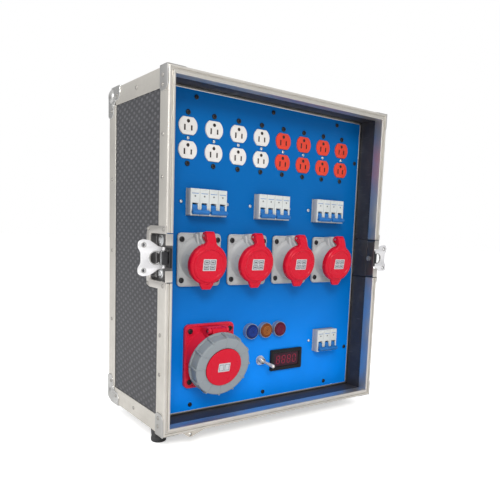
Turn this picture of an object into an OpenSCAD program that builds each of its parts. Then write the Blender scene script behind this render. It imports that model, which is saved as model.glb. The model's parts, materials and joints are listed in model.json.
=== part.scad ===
// Portable power distribution box: a flight case, open at the front, with a recessed
// panel of outlets, breakers, industrial sockets, a power inlet, a meter and lamps.
// The origin is on the floor, under the centre of the case. +Z is up, and the open
// front faces -Y.

/* [Case] */
// Width over the aluminium edges
case_w = 480; // [476:1:500]
// Height over the aluminium edges, without the feet
case_h = 582; // [578:1:600]
// Depth from the front edge to the back
case_d = 243; // [235:1:280]
// Thickness of the laminated plywood
ply_t = 9; // [8:0.5:10]
// Thickness of the aluminium sections
alu_t = 1.5; // [1.2:0.1:1.8]
// Width of each leg of the edge angles
edge_leg = 31; // [28:1:34]
// Depth of the front profile's outer leg
profile_leg = 29; // [27:1:31]
// Depth of the front profile's inner leg
profile_inner_leg = 21; // [16:1:24]
// Height of the rubber feet
foot_h = 24; // [20:1:30]
// Diameter of the rubber feet
foot_d = 28; // [24:1:28]
// Distance from the case's middle to the front left foot, along the depth
foot_y = 71; // [60:1:75]

/* [Corners] */
// Radius of the ball on each rear corner
ball_r = 20; // [19:0.5:22]
// Depth of the ball's centre below the case faces
ball_inset = 14; // [13:0.5:15]
// Length of the ball corner's legs
ball_leg = 50; // [46:1:54]
// Length of the front corner brace's legs
brace_leg = 37; // [34:1:40]

/* [Panel] */
// Depth of the panel's face below the front edge of the case
recess = 60.8; // [60:0.2:66]
// Thickness of the panel
panel_t = 3; // [2:0.5:3]
// Gap between the panel and the front profile
panel_gap = 1; // [1:0.5:2]
// Distance from the panel's edge to its border screws
screw_inset = 13; // [12:0.5:14]

/* [Outlets] */
// Distance between neighbouring outlets
outlet_pitch = 50; // [48:1:52]
// Height of the outlets above the panel's centre
outlet_z = 197; // [195:1:199]
// Width of an outlet face
outlet_face_w = 34.4; // [33:0.2:34.4]
// Height of an outlet face
outlet_face_h = 28.6; // [28:0.2:29]

/* [Breakers] */
// Distance between the branch breaker groups
group_pitch = 140; // [138:1:142]
// Height of the branch breakers above the panel's centre
branch_z = 92; // [91:1:93]
// Sideways place of the three-pole breaker
main_x = 150; // [148:1:152]
// Height of the three-pole breaker, relative to the panel's centre
main_z = -173; // [-175:1:-171]
// Width of one breaker pole
pole_w = 17.8; // [17.6:0.1:18]
// Distance that a breaker face stands out from the panel
breaker_proud = 16; // [15:0.5:17]
// Angle between the lower and the upper position of a breaker handle
handle_swing = 70; // [60:1:72]

/* [Sockets] */
// Distance between neighbouring sockets
socket_pitch = 100; // [99:0.5:101]
// Height of the sockets, relative to the panel's centre
socket_z = -6; // [-8:1:-4]
// Width of a socket flange
socket_flange_w = 84; // [82:1:88]
// Height of a socket flange
socket_flange_h = 92; // [90:1:94]
// Distance between a socket's screws
socket_screw_pitch = 70; // [69:0.5:71]
// Downward tilt of the sockets
socket_tilt = 9; // [8:1:11]
// Radius of the sockets' round lids
socket_lid_r = 35.6; // [35.4:0.1:37]

/* [Inlet] */
// Sideways place of the inlet
inlet_x = -126; // [-127:1:-124]
// Height of the inlet, relative to the panel's centre
inlet_z = -176; // [-178:1:-174]
// Width of the inlet flange
inlet_flange_w = 100; // [98:1:104]
// Height of the inlet flange
inlet_flange_h = 114; // [112:1:116]
// Downward tilt of the inlet
inlet_tilt = 12; // [10:1:13]
// Radius over the ribs of the inlet's locking ring
ring_r = 56; // [55:0.5:57]
// Number of ribs on the locking ring
ring_ribs = 12; // [8:1:16]

/* [Indicators] */
// Distance between the pilot lamps
lamp_pitch = 33; // [32:0.5:34]
// Radius of a pilot lamp's lens
lamp_r = 14.5; // [13:0.5:15]
// Width of the meter's bezel
meter_w = 78; // [76:1:79]
// Height of the meter's bezel
meter_h = 42; // [41:1:43]
// Length of the toggle lever outside its pivot
lever_len = 26; // [20:1:28]
// Tilt of the toggle lever at rest
lever_tilt = 22; // [18:1:22]

/* [Latches] */
// Height of a latch plate
latch_h = 101; // [98:1:104]
// Distance from the front edge to a latch's turning axis
latch_axis_inset = 14.5; // [14:0.5:16]
// Distance that a latch wing stands out from its hinge
wing_len = 44; // [42:0.5:44]
// Throw of the latch hook over half a turn
hook_throw = 8; // [7:0.5:8]

/* [Hidden] */
$fn = 48;
far = 400;

// Case
half_w = case_w / 2;
half_h = case_h / 2;
half_d = case_d / 2;
mid_z = foot_h + half_h;
wall = ply_t + 2 * alu_t;
front_y = -half_d;
web_t = 4;
groove_in = 4;
groove_w = 3;
groove_depth = 2.5;
mitre_gap = 0.2;
foot_x = half_w - foot_d / 2 - 2;
// Each foot's place and the height of the surface it is screwed to
feet = [
    [-foot_x, -foot_y, foot_h], [foot_x, -48, foot_h],
    [-194, 60, foot_h + alu_t], [194, 60, foot_h + alu_t]
];
foot_bore_r = 6;
foot_bore_h = 12;
eye_x = -half_w + brace_leg + 1;

// Rivets and screws
rivet_r = 1.6;
rivet_hole_r = 1.7;
rivet_len = 9;
brace_rivets = [14, 28];
ball_rivets = [[40, 16], [16, 40]];
flange_y = front_y + 18.5;
rear_y = half_d - edge_leg / 2;
edge_mid = edge_leg / 2;
m4_r = 1.9;
m4_hole_r = 2.1;
m4_head_r = 4.5;
pin_gap = 0.05;

// Latches
latch_y = front_y + latch_axis_inset;
dish_t = 1.2;
dish_depth = 12;
dish_half = 38;
dish_back_y = front_y + 59.5;
dish_rim = 12;
notch_half = dish_half + dish_t + 0.3;
hinge_in = 3;
wing_t = 2.5;
wing_half = 28.5;
wing_window = 11;
cam_r = 8;
cam_offset = hook_throw / 2;

// Handle
grip_y = 10;
grip_pivot_y = grip_y - 30;
grip_drop = 6;
grip_r = 6.5;
grip_arm = 54;

// Panel
panel_w = case_w - 2 * wall - 2 * panel_gap;
panel_h = case_h - 2 * wall - 2 * panel_gap;
panel_y = front_y + recess;
border_x = panel_w / 2 - screw_inset + 1;
border_z = panel_h / 2 - screw_inset;
border_side_z = 195.5;
border_row_x = 160;
border_screws = [
    for (s = [-1, 1]) for (x = [-border_row_x, 0, border_row_x]) [x, s * border_z],
    for (s = [-1, 1]) for (z = [-border_side_z, border_side_z]) [s * border_x, z]
];
frame_leg = 20;
frame_t = 2;

// Outlets
outlet_xs = [for (i = [-3.5:1:3.5]) i * outlet_pitch];
outlet_face_pitch = 39;
outlet_screw_z = 41.7;
outlet_proud = 2;
outlet_front = -5;
outlet_back = -31;

// Breakers
breakers = [
    for (g = [-1, 0, 1]) for (s = [-1, 1])
        [g * group_pitch + s * (pole_w + 0.1), branch_z, 2],
    [main_x, main_z, 3]
];
breaker_face_h = 45;
breaker_shoulder = -7;
breaker_back = -49;
handle_y = -9.5;
handle_out = breaker_proud - 6;
handle_drum_r = 6.5;
handle_w = 9.4;
handle_len = 12.7;
handle_rest = handle_swing / 2;
tie_bar_r = 3.5;
rail_groups = [
    for (g = [-1, 0, 1]) [g * group_pitch, branch_z, 45.5],
    [main_x, main_z, 37.5]
];

// Sockets
socket_xs = [for (i = [-1.5:1:1.5]) i * socket_pitch];
gasket_t = 1;
socket_flange_t = 5;
collar_r = 33;
collar_end = 33;
socket_pin = [47.3, collar_end - 7.4];
socket_pin_r = 2;
lug_w = 17;
barrel_w = 9.4;

// Inlet
inlet_flange_t = 8;
inlet_screws = [81, 91];
shroud_r = 41;
shroud_end = 46;
inlet_pin = [54, 22];
ring_back = 34;
ring_front = 57.2;

// Indicators
lamp_z = -141;
lamp_x = -3;
meter_x = 53;
meter_z = -204.5;
toggle_x = -9;
toggle_z = -201;
toggle_pivot = 8;
toggle_turn = -38;

// Inside
inside_y = half_d - alu_t - ply_t;
loom_back = panel_y - inside_y + 8.6;
loom_rows = [-211, -176, -133, socket_z, branch_z - 46, branch_z + 46, outlet_z];

// ---- Placing -------------------------------------------------------------

// Panel frame: X to the right, Y up, Z out of the panel's face
module on_panel(x, z) {
    translate([x, panel_y, mid_z + z]) rotate([90, 0, 0]) children();
}

// Left side frame: Z out of the case's left face
module on_left(y, z) {
    translate([-half_w, y, mid_z + z]) rotate([0, -90, 0]) children();
}

module on_top(x, y) {
    translate([x, y, mid_z + half_h]) children();
}

module on_back(x, z) {
    translate([x, half_d, mid_z + z]) rotate([-90, 0, 0]) children();
}

module left_and_right() {
    children();
    mirror([1, 0, 0]) children();
}

module top_and_bottom() {
    children();
    translate([0, 0, 2 * mid_z]) mirror([0, 0, 1]) children();
}

module centred_box(w, h, z0, z1) {
    translate([-w / 2, -h / 2, z0]) cube([w, h, z1 - z0]);
}

module rounded_plate(w, h, r, z0, z1) {
    translate([0, 0, z0]) linear_extrude(z1 - z0)
        offset(r = r, $fn = 32) square([w - 2 * r, h - 2 * r], center = true);
}

module tube(r_out, r_in, z0, z1) {
    translate([0, 0, z0]) difference() {
        cylinder(h = z1 - z0, r = r_out);
        translate([0, 0, -1]) cylinder(h = z1 - z0 + 2, r = r_in);
    }
}

module disc(r, z0, z1) {
    translate([0, 0, z0]) cylinder(h = z1 - z0, r = r);
}

// A shaft along X, centred
module cross_shaft(r, length) {
    rotate([0, 90, 0]) cylinder(h = length, r = r, center = true);
}

// An outline in Y and Z, extruded along X, centred
module side_outline(points, width) {
    translate([-width / 2, 0, 0]) rotate([90, 0, 90]) linear_extrude(width)
        polygon(points);
}

// ---- Fasteners -----------------------------------------------------------

module rivet() {
    disc(rivet_r, -rivet_len, 0.4);
    disc(3.5, 0, 0.5);
    translate([0, 0, 0.5]) cylinder(h = 0.9, r1 = 3.5, r2 = 2);
}

module rivet_hole() {
    disc(rivet_hole_r, -rivet_len - 0.3, 3);
}

// Rivets on the braces and the ball corners sit one thickness higher than the others
module at_side_rivets() {
    left_and_right() {
        for (z = [-130, 0, 130]) on_left(rear_y, z) children();
        for (s = [-1, 1]) {
            on_left(0, s * (half_h - edge_mid)) children();
            for (z = [125, 190]) on_left(flange_y, s * z) children();
            for (y = [front_y + 9, dish_back_y + 5])
                on_left(y, s * (dish_half + 6.5)) translate([0, 0, dish_t]) children();
            for (in = brace_rivets) on_left(flange_y, s * (half_h - in))
                translate([0, 0, alu_t]) children();
            for (p = ball_rivets) on_left(half_d - p[0], s * (half_h - p[1]))
                translate([0, 0, alu_t]) children();
        }
    }
}

module at_cap_rivets() {
    top_and_bottom() {
        for (x = [-120, 0, 120]) on_top(x, rear_y) children();
        for (x = [-135, -45, 45, 135]) on_top(x, flange_y) children();
        for (s = [-1, 1]) {
            on_top(s * (half_w - edge_mid), 0) children();
            for (in = brace_rivets) on_top(s * (half_w - in), flange_y)
                translate([0, 0, alu_t]) children();
            for (p = ball_rivets) on_top(s * (half_w - p[0]), half_d - p[1])
                translate([0, 0, alu_t]) children();
        }
    }
}

module at_back_rivets() {
    left_and_right() {
        for (z = [-130, 0, 130]) on_back(half_w - edge_mid, z) children();
        top_and_bottom() for (p = ball_rivets) on_back(half_w - p[0], half_h - p[1])
            translate([0, 0, alu_t]) children();
    }
    top_and_bottom() for (x = [-120, 0, 120]) on_back(x, half_h - edge_mid) children();
}

module at_eye_rivets() {
    for (x = [8, 32]) translate([eye_x + x, flange_y, foot_h - alu_t])
        mirror([0, 0, 1]) children();
}

module case_rivets() {
    color("silver") {
        at_side_rivets() rivet();
        at_cap_rivets() rivet();
        at_back_rivets() rivet();
        at_eye_rivets() rivet();
    }
}

// A button-head screw, its head resting on Z = 0
module button_screw(head_r, shank_r, length) {
    difference() {
        union() {
            cylinder(h = 1.2, r = head_r);
            translate([0, 0, 1.2]) cylinder(h = 1.4, r1 = head_r, r2 = head_r * 0.6);
            translate([0, 0, -length]) cylinder(h = length + 0.5, r = shank_r);
        }
        translate([0, 0, 1]) cylinder(h = 3, r = head_r * 0.36, $fn = 6);
    }
}

module at_outlet_screws() {
    for (x = outlet_xs) for (s = [-1, 1])
        on_panel(x, outlet_z + s * outlet_screw_z) children();
}

module at_border_screws() {
    for (p = border_screws) on_panel(p[0], p[1]) children();
}

module at_socket_screws() {
    for (x = socket_xs) for (u = [-0.5, 0.5]) for (v = [-0.5, 0.5])
        on_panel(x + u * socket_screw_pitch, socket_z + v * socket_screw_pitch) children();
}

module at_inlet_screws() {
    for (u = [-0.5, 0.5]) for (v = [-0.5, 0.5])
        on_panel(inlet_x + u * inlet_screws[0], inlet_z + v * inlet_screws[1]) children();
}

module at_rail_screws() {
    for (g = rail_groups) for (s = [-1, 1]) on_panel(g[0] + s * g[2], g[1]) children();
}

module at_feet() {
    for (f = feet) translate([f[0], f[1], 0]) children();
}

module panel_screws() {
    color([0.08, 0.08, 0.09]) {
        at_outlet_screws() button_screw(m4_head_r, m4_r, 8);
        at_border_screws() button_screw(m4_head_r - 0.5, m4_r, 9);
    }
}

module flange_screws() {
    color([0.08, 0.08, 0.09]) {
        at_socket_screws() translate([0, 0, gasket_t + socket_flange_t])
            button_screw(m4_head_r + 0.3, m4_r, 14);
        at_inlet_screws() translate([0, 0, inlet_flange_t])
            button_screw(m4_head_r + 0.3, m4_r, 16);
    }
}

module steel_screws() {
    color("silver") {
        for (x = outlet_xs) on_panel(x, outlet_z) button_screw(3, 1.5, 14);
        at_rail_screws() button_screw(3.2, 1.5, 11);
        at_feet() {
            disc(5, foot_bore_h - 3, foot_bore_h);
            disc(2.2, foot_bore_h - 1, foot_h + 9);
        }
    }
}

// ---- Case ----------------------------------------------------------------

// The case's corner cube at each rear corner, which the ball corners replace
module rear_vertex_cuts() {
    cut = ball_inset + 7.5;
    left_and_right() top_and_bottom()
        translate([half_w - cut, half_d - cut, mid_z + half_h - cut]) cube(cut + 1);
}

module foot_screw_holes() {
    at_feet() translate([0, 0, foot_h - 1]) cylinder(h = 14, r = 2.4);
}

module side_panel() {
    difference() {
        translate([-half_w + alu_t, front_y + web_t, mid_z - half_h + alu_t])
            cube([ply_t, case_d - web_t - alu_t, case_h - 2 * alu_t]);
        translate([-half_w, front_y, mid_z - notch_half])
            cube([wall, dish_back_y + dish_t + 0.3 - front_y, 2 * notch_half]);
        rear_vertex_cuts();
        at_side_rivets() rivet_hole();
    }
}

module left_side_panel() {
    color([0.2, 0.2, 0.21]) side_panel();
}

module right_side_panel() {
    color([0.2, 0.2, 0.21]) mirror([1, 0, 0]) side_panel();
}

module cap_panel() {
    inner_w = case_w - 2 * (alu_t + ply_t);
    difference() {
        translate([-inner_w / 2, front_y + web_t, mid_z + half_h - alu_t - ply_t])
            cube([inner_w, case_d - web_t - alu_t, ply_t]);
        rear_vertex_cuts();
        at_cap_rivets() rivet_hole();
    }
}

module top_panel() {
    color([0.2, 0.2, 0.21]) difference() {
        cap_panel();
        on_top(0, grip_y) centred_box(133, 87, -20, 1);
    }
}

module bottom_panel() {
    color([0.2, 0.2, 0.21]) difference() {
        translate([0, 0, 2 * mid_z]) mirror([0, 0, 1]) cap_panel();
        foot_screw_holes();
        at_eye_rivets() rivet_hole();
    }
}

module back_panel() {
    side = alu_t + ply_t;
    color([0.2, 0.2, 0.21]) difference() {
        translate([-half_w + side, half_d - alu_t - ply_t, mid_z - half_h + side])
            cube([case_w - 2 * side, ply_t, case_h - 2 * side]);
        rear_vertex_cuts();
        at_back_rivets() rivet_hole();
    }
}

// A rectangular rim behind the front edge, from inset d0 to inset d1
module rim(d0, d1, y0, y1) {
    translate([0, front_y + y0, mid_z]) rotate([-90, 0, 0]) difference() {
        centred_box(case_w - 2 * d0, case_h - 2 * d0, 0, y1 - y0);
        centred_box(case_w - 2 * d1, case_h - 2 * d1, -1, y1 - y0 + 1);
    }
}

module front_profile() {
    color([0.75, 0.74, 0.7]) difference() {
        union() {
            rim(0, wall, 0, web_t);
            rim(0, alu_t, 0, profile_leg);
            rim(wall - alu_t, wall, 0, profile_inner_leg);
        }
        rim(groove_in, groove_in + groove_w, -1, groove_depth);
        left_and_right() translate([-half_w - 1, front_y - 1, mid_z - notch_half])
            cube([wall + 2, profile_leg + 2, 2 * notch_half]);
        for (sx = [-1, 1]) for (sz = [-1, 1])
            translate([sx * half_w, front_y + 20, mid_z + sz * half_h])
                rotate([0, sx * sz * 45, 0])
                    cube([mitre_gap, 60, 4 * wall], center = true);
        at_side_rivets() rivet_hole();
        at_cap_rivets() rivet_hole();
        at_eye_rivets() rivet_hole();
    }
}

// One edge angle along X, its outer corner on the X axis, legs towards -Y and -Z
module angle_x(length) {
    translate([-length / 2, -edge_leg, -alu_t]) cube([length, edge_leg, alu_t]);
    translate([-length / 2, -alu_t, -edge_leg]) cube([length, alu_t, edge_leg]);
}

module edge_angles() {
    depth_len = case_d - profile_leg - edge_leg;
    depth_mid = (profile_leg - edge_leg) / 2;
    color([0.74, 0.73, 0.69]) difference() {
        top_and_bottom() {
            left_and_right() translate([half_w, depth_mid, mid_z + half_h])
                rotate([0, 0, -90]) angle_x(depth_len);
            translate([0, half_d, mid_z + half_h]) angle_x(case_w - 2 * edge_leg);
        }
        at_side_rivets() rivet_hole();
        at_cap_rivets() rivet_hole();
        at_back_rivets() rivet_hole();
        foot_screw_holes();
    }
    color([0.74, 0.73, 0.69]) difference() {
        left_and_right() translate([half_w, half_d, mid_z])
            rotate([0, 90, 0]) angle_x(case_h - 2 * edge_leg);
        at_side_rivets() rivet_hole();
        at_back_rivets() rivet_hole();
    }
}

// The ball corner for a case that fills the negative octant
module ball_corner() {
    centre = -[1, 1, 1] * ball_inset;
    leg_outline = [
        [alu_t, alu_t], [-ball_leg, alu_t], [-ball_leg, -edge_leg],
        [-edge_leg, -ball_leg], [alu_t, -ball_leg]
    ];
    difference() {
        union() {
            difference() {
                union() {
                    linear_extrude(alu_t) polygon(leg_outline);
                    rotate([90, 0, 90]) linear_extrude(alu_t) polygon(leg_outline);
                    rotate([90, 0, 0]) mirror([0, 0, 1]) linear_extrude(alu_t)
                        polygon(leg_outline);
                }
                translate(centre) cube(far);
            }
            translate(centre) sphere(r = ball_r);
        }
        translate(centre) sphere(r = ball_r - alu_t);
        difference() {
            translate(-[1, 1, 1] * 2 * ball_leg) cube(2 * ball_leg);
            translate(centre) cube(far);
        }
    }
}

module ball_corners() {
    color([0.68, 0.68, 0.66]) difference() {
        left_and_right() top_and_bottom()
            translate([half_w, half_d, mid_z + half_h]) ball_corner();
        at_side_rivets() rivet_hole();
        at_cap_rivets() rivet_hole();
        at_back_rivets() rivet_hole();
    }
}

module corner_braces() {
    reach = brace_leg + alu_t;
    color([0.66, 0.66, 0.65]) difference() {
        left_and_right() top_and_bottom() translate([half_w, front_y, mid_z + half_h]) {
            translate([0, 1, -brace_leg]) cube([alu_t, profile_leg, reach]);
            translate([-brace_leg, 1, 0]) cube([reach, profile_leg, alu_t]);
        }
        at_side_rivets() rivet_hole();
        at_cap_rivets() rivet_hole();
    }
}

module rubber_feet() {
    color([0.1, 0.1, 0.11]) for (f = feet) translate([f[0], f[1], 0]) difference() {
        cylinder(h = f[2], r1 = foot_d / 2 - 1, r2 = foot_d / 2);
        disc(foot_bore_r, -1, foot_bore_h);
        disc(2.4, 0, far);
    }
}

// A small pressed eye under the front edge, for a strap
module tie_down_eye() {
    color([0.72, 0.71, 0.68]) difference() {
        translate([eye_x, front_y + 6, foot_h]) {
            translate([0, 0, -alu_t]) cube([40, 20, alu_t]);
            rotate([90, 0, 0]) linear_extrude(2)
                polygon([[0, 0], [12, -10], [16, -10], [40, 0]]);
            translate([0, -2, -alu_t]) cube([40, 3, alu_t]);
        }
        translate([eye_x + 14, front_y, foot_h - 5.5]) rotate([-90, 0, 0])
            cylinder(h = 10, r = 2.4);
        at_eye_rivets() rivet_hole();
    }
}

// ---- Latches -------------------------------------------------------------

module latch_dish() {
    tub_len = dish_back_y - front_y;
    rim_len = tub_len + dish_rim;
    difference() {
        union() {
            // Rim, thicker behind the profile, where it reaches down to the laminate
            translate([-half_w - dish_t, front_y, mid_z - latch_h / 2])
                cube([dish_t, rim_len - 8, latch_h]);
            translate([-half_w - dish_t, front_y, mid_z - latch_h / 2 + 8])
                cube([dish_t, rim_len, latch_h - 16]);
            translate([-half_w - dish_t, front_y + profile_leg + 0.2, mid_z - latch_h / 2])
                cube([dish_t + alu_t, rim_len - 8 - profile_leg - 0.2, latch_h]);
            translate([-half_w - dish_t, front_y + profile_leg + 0.2, mid_z - latch_h / 2 + 8])
                cube([dish_t + alu_t, rim_len - profile_leg - 0.2, latch_h - 16]);
            for (s = [-1, 1])
                translate([-half_w, front_y + rim_len - 8, mid_z + s * (latch_h / 2 - 8)])
                    rotate([0, 90, 0]) translate([0, 0, -dish_t])
                        cylinder(h = dish_t + alu_t, r = 8);
            // Tub
            translate([-half_w, front_y, mid_z - dish_half - dish_t])
                cube([dish_depth, tub_len + dish_t, 2 * (dish_half + dish_t)]);
        }
        // Tub hollow, open at the front between two end blocks
        translate([-half_w - 3, front_y + dish_t, mid_z - dish_half])
            cube([dish_depth - dish_t + 3, tub_len - dish_t, 2 * dish_half]);
        translate([-half_w - 3, front_y - 1, mid_z - wing_half + 9])
            cube([dish_depth - dish_t + 3, dish_t + 2, 2 * (wing_half - 9)]);
        translate([-half_w, latch_y, mid_z]) rotate([0, 90, 0])
            cylinder(h = dish_depth + 1, r = 3 + pin_gap);
        at_side_rivets() rivet_hole();
    }
}

module latch_dishes() {
    color([0.78, 0.76, 0.72]) left_and_right() latch_dish();
}

// The turning part: boss, eccentric cam, axle and the wing's hinge pin
module latch_hub() {
    translate([-half_w, latch_y, mid_z]) rotate([0, 90, 0]) {
        difference() {
            disc(9.5, 0.8, 7.8);
            centred_box(2 * hinge_in + 2, 24, -1, 2.2);
        }
        translate([0, cam_offset, 0]) disc(cam_r, 7.7, 10.6);
        disc(3, 10.5, 14);
        disc(5.5, dish_depth + 0.1, 14);
        translate([0, 0, hinge_in]) rotate([0, 90, 0])
            cylinder(h = 34, r = 1.5, center = true);
    }
}

// The folding wing, standing out from the case at rest
module latch_wing() {
    lobe = [34, 19.5];
    translate([-half_w + hinge_in, latch_y, mid_z]) rotate([90, 0, 0]) difference() {
        union() {
            translate([0, 0, -wing_t / 2]) linear_extrude(wing_t) mirror([1, 0, 0])
                difference() {
                    union() {
                        translate([14, -20]) square([20, 40]);
                        hull() for (s = [-1, 1]) translate([lobe[0] - 2, s * (lobe[1] - 1)])
                            circle(r = 8, $fn = 32);
                        for (s = [-1, 1]) hull() {
                            translate([lobe[0] + wing_len - 42.5, s * (wing_half - 8.5)])
                                circle(r = 8.5, $fn = 32);
                            translate([0, s * 13 - 2.8]) square([1, 5.6]);
                        }
                    }
                    translate([-10, -wing_window]) square([26, 2 * wing_window]);
                    translate([16, 0]) circle(r = 5.5, $fn = 32);
                }
            for (s = [-1, 1]) translate([0, s * 14 - 2.8, 0]) rotate([-90, 0, 0])
                cylinder(h = 5.6, r = 2.8);
        }
        translate([0, -20, 0]) rotate([-90, 0, 0]) cylinder(h = 40, r = 1.5 + pin_gap);
        for (s = [-1, 1]) translate([-lobe[0], s * lobe[1], -5]) cylinder(h = 10, r = 2.7);
    }
}

// The sliding hook, driven by the cam through a slot
module latch_hook() {
    front = front_y + 1.6;
    color([0.7, 0.7, 0.7]) difference() {
        union() {
            translate([-half_w + 8, front, mid_z - 15.5]) cube([2.5, 33, 31]);
            translate([-half_w + 6.4, front, mid_z - 15.5]) cube([2.6, 2, 31]);
        }
        translate([-half_w + 7, latch_y + cam_offset - 9.1, mid_z - 12.4])
            cube([5, 18.2, 24.8]);
    }
}

module latch_hub_left() {
    color([0.8, 0.8, 0.8]) latch_hub();
}

module latch_hub_right() {
    color([0.8, 0.8, 0.8]) mirror([1, 0, 0]) latch_hub();
}

module latch_wing_left() {
    color([0.86, 0.86, 0.86]) latch_wing();
}

module latch_wing_right() {
    color([0.86, 0.86, 0.86]) mirror([1, 0, 0]) latch_wing();
}

module latch_hook_left() {
    latch_hook();
}

module latch_hook_right() {
    mirror([1, 0, 0]) latch_hook();
}

// ---- Top handle ----------------------------------------------------------

module handle_dish() {
    color([0.1, 0.1, 0.1]) on_top(0, grip_y) difference() {
        union() {
            rounded_plate(160, 112, 10, -alu_t, dish_t);
            centred_box(132.4, 86.4, -15.7, 0);
        }
        centred_box(130, 84, -14.5, 2);
    }
    // Pivot ears
    color([0.1, 0.1, 0.1]) difference() {
        for (s = [-1, 1]) on_top(s * (grip_arm + 7), grip_pivot_y)
            centred_box(3, 12, -14.6, -1);
        on_top(0, grip_pivot_y) translate([0, 0, -grip_drop])
            cross_shaft(3 + pin_gap, 140);
    }
}

module handle_bail() {
    color([0.12, 0.12, 0.12]) on_top(0, grip_pivot_y) translate([0, 0, -grip_drop]) {
        for (s = [-1, 1]) translate([s * grip_arm, 0, 0]) {
            sphere(r = 4);
            rotate([-90, 0, 0]) cylinder(h = 56, r = 4);
            translate([0, 56, 0]) sphere(r = 4);
            translate([s * 4.5, 0, 0]) cross_shaft(3, 9);
        }
        translate([0, 56, 0]) cross_shaft(4, 2 * grip_arm);
        translate([0, 56, 0]) cross_shaft(grip_r, 2 * grip_arm - 14);
    }
}

// ---- Panel ---------------------------------------------------------------

module panel_frame() {
    inner_w = case_w - 2 * (alu_t + ply_t);
    inner_h = case_h - 2 * (alu_t + ply_t);
    color([0.75, 0.74, 0.7]) difference() {
        on_panel(0, 0) difference() {
            centred_box(inner_w, inner_h, -panel_t - frame_leg, -panel_t);
            centred_box(inner_w - 2 * frame_leg, inner_h - 2 * frame_leg, -far, far);
            centred_box(inner_w - 2 * frame_t, inner_h - 2 * frame_t,
                        -far, -panel_t - frame_t);
        }
        at_border_screws() translate([0, 0, -10]) cylinder(h = 20, r = m4_hole_r);
    }
}

module m4_through_hole() {
    translate([0, 0, -panel_t - 1]) cylinder(h = panel_t + 2, r = m4_hole_r);
}

module front_panel() {
    color([0.04, 0.35, 0.72]) difference() {
        on_panel(0, 0) centred_box(panel_w, panel_h, -panel_t, 0);
        at_border_screws() m4_through_hole();
        at_outlet_screws() m4_through_hole();
        at_socket_screws() m4_through_hole();
        at_inlet_screws() m4_through_hole();
        at_rail_screws() m4_through_hole();
        for (x = outlet_xs) {
            on_panel(x, outlet_z) m4_through_hole();
            for (s = [-0.5, 0.5]) on_panel(x, outlet_z + s * outlet_face_pitch)
                outlet_face(0.3, -panel_t - 1, 1);
        }
        for (b = breakers) on_panel(b[0], b[1])
            centred_box(b[2] * pole_w + 0.6, breaker_face_h + 1, -panel_t - 1, 1);
        for (x = socket_xs) on_panel(x, socket_z) disc(31, -panel_t - 1, 1);
        on_panel(inlet_x, inlet_z) disc(39.5, -panel_t - 1, 1);
        for (i = [-1:1]) on_panel(lamp_x + i * lamp_pitch, lamp_z) disc(11.2, -panel_t - 1, 1);
        on_panel(meter_x, meter_z) centred_box(73, 37, -panel_t - 1, 1);
        on_panel(toggle_x, toggle_z) disc(6.2, -panel_t - 1, 1);
    }
}

// ---- Outlets -------------------------------------------------------------

// The round face with flat top and bottom, enlarged by grow
module outlet_face(grow, z0, z1) {
    intersection() {
        disc(outlet_face_w / 2 + grow, z0, z1);
        centred_box(far, outlet_face_h + 2 * grow, z0, z1);
    }
}

module outlet() {
    difference() {
        union() {
            for (s = [-0.5, 0.5]) translate([0, s * outlet_face_pitch, 0])
                outlet_face(0, outlet_front - 1, outlet_proud);
            centred_box(32, 70, outlet_back, outlet_front);
        }
        for (s = [-0.5, 0.5]) translate([0, s * outlet_face_pitch, 0]) {
            translate([0, 8.3, -16]) cylinder(h = 20, r = 2.4);
            for (x = [-6.35, 6.35]) translate([x, -3, 0]) centred_box(2, 8, -16, 3);
        }
        translate([0, 0, -22]) cylinder(h = 20, r = 1.6);
    }
}

module outlets_white() {
    color([0.92, 0.9, 0.87]) for (i = [0:3]) on_panel(outlet_xs[i], outlet_z) outlet();
}

module outlets_orange() {
    color([0.93, 0.25, 0.12]) for (i = [4:7]) on_panel(outlet_xs[i], outlet_z) outlet();
}

// Steel strap behind the panel that each outlet hangs in
module outlet_yoke() {
    gap = 35.2;
    difference() {
        union() {
            for (s = [0, 1]) mirror([0, s, 0]) {
                translate([-12, gap, -4.4]) cube([24, 17.8, 1.2]);
                translate([-12, gap, outlet_back - 1.3]) cube([24, 1.2, -outlet_back - 1.9]);
            }
            centred_box(24, 2 * gap + 2.4, outlet_back - 1.3, outlet_back - 0.1);
        }
        for (s = [-1, 1]) translate([0, s * outlet_screw_z, -6])
            cylinder(h = 4, r = m4_hole_r);
    }
}

module outlet_yokes() {
    color("silver") for (x = outlet_xs) on_panel(x, outlet_z) outlet_yoke();
}

// ---- Breakers ------------------------------------------------------------

function pole_x(poles, i) = (i - (poles - 1) / 2) * pole_w;

module breaker_body(poles) {
    w = poles * pole_w - 0.2;
    difference() {
        union() {
            centred_box(w, breaker_face_h, breaker_shoulder - 1, breaker_proud);
            centred_box(w, 82, breaker_back, breaker_shoulder);
        }
        for (i = [0:poles - 1]) translate([pole_x(poles, i), 0, 0]) {
            translate([0, handle_y + 0.2, 0])
                centred_box(handle_w + 1.2, 15.6, handle_out - 8, breaker_proud + 1);
            translate([0, 9.8, breaker_proud - 0.8]) cylinder(h = 2, r = 1.2);
            for (s = [-1, 1]) translate([0, s * 42, -20]) rotate([s * 90, 0, 0])
                cylinder(h = 12, r = 3.5);
        }
        // Joint lines between the poles
        for (i = [1:poles - 1]) translate([pole_x(poles, i - 0.5), 0, 0])
            centred_box(0.5, far, breaker_proud - 0.5, far);
        translate([0, handle_y, handle_out]) cross_shaft(1.5 + pin_gap, far);
        centred_box(far, 35.8, breaker_back - 1, breaker_back + 2.6);
    }
}

module breaker_bodies() {
    color([0.9, 0.9, 0.88]) for (b = breakers) on_panel(b[0], b[1]) breaker_body(b[2]);
}

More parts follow.
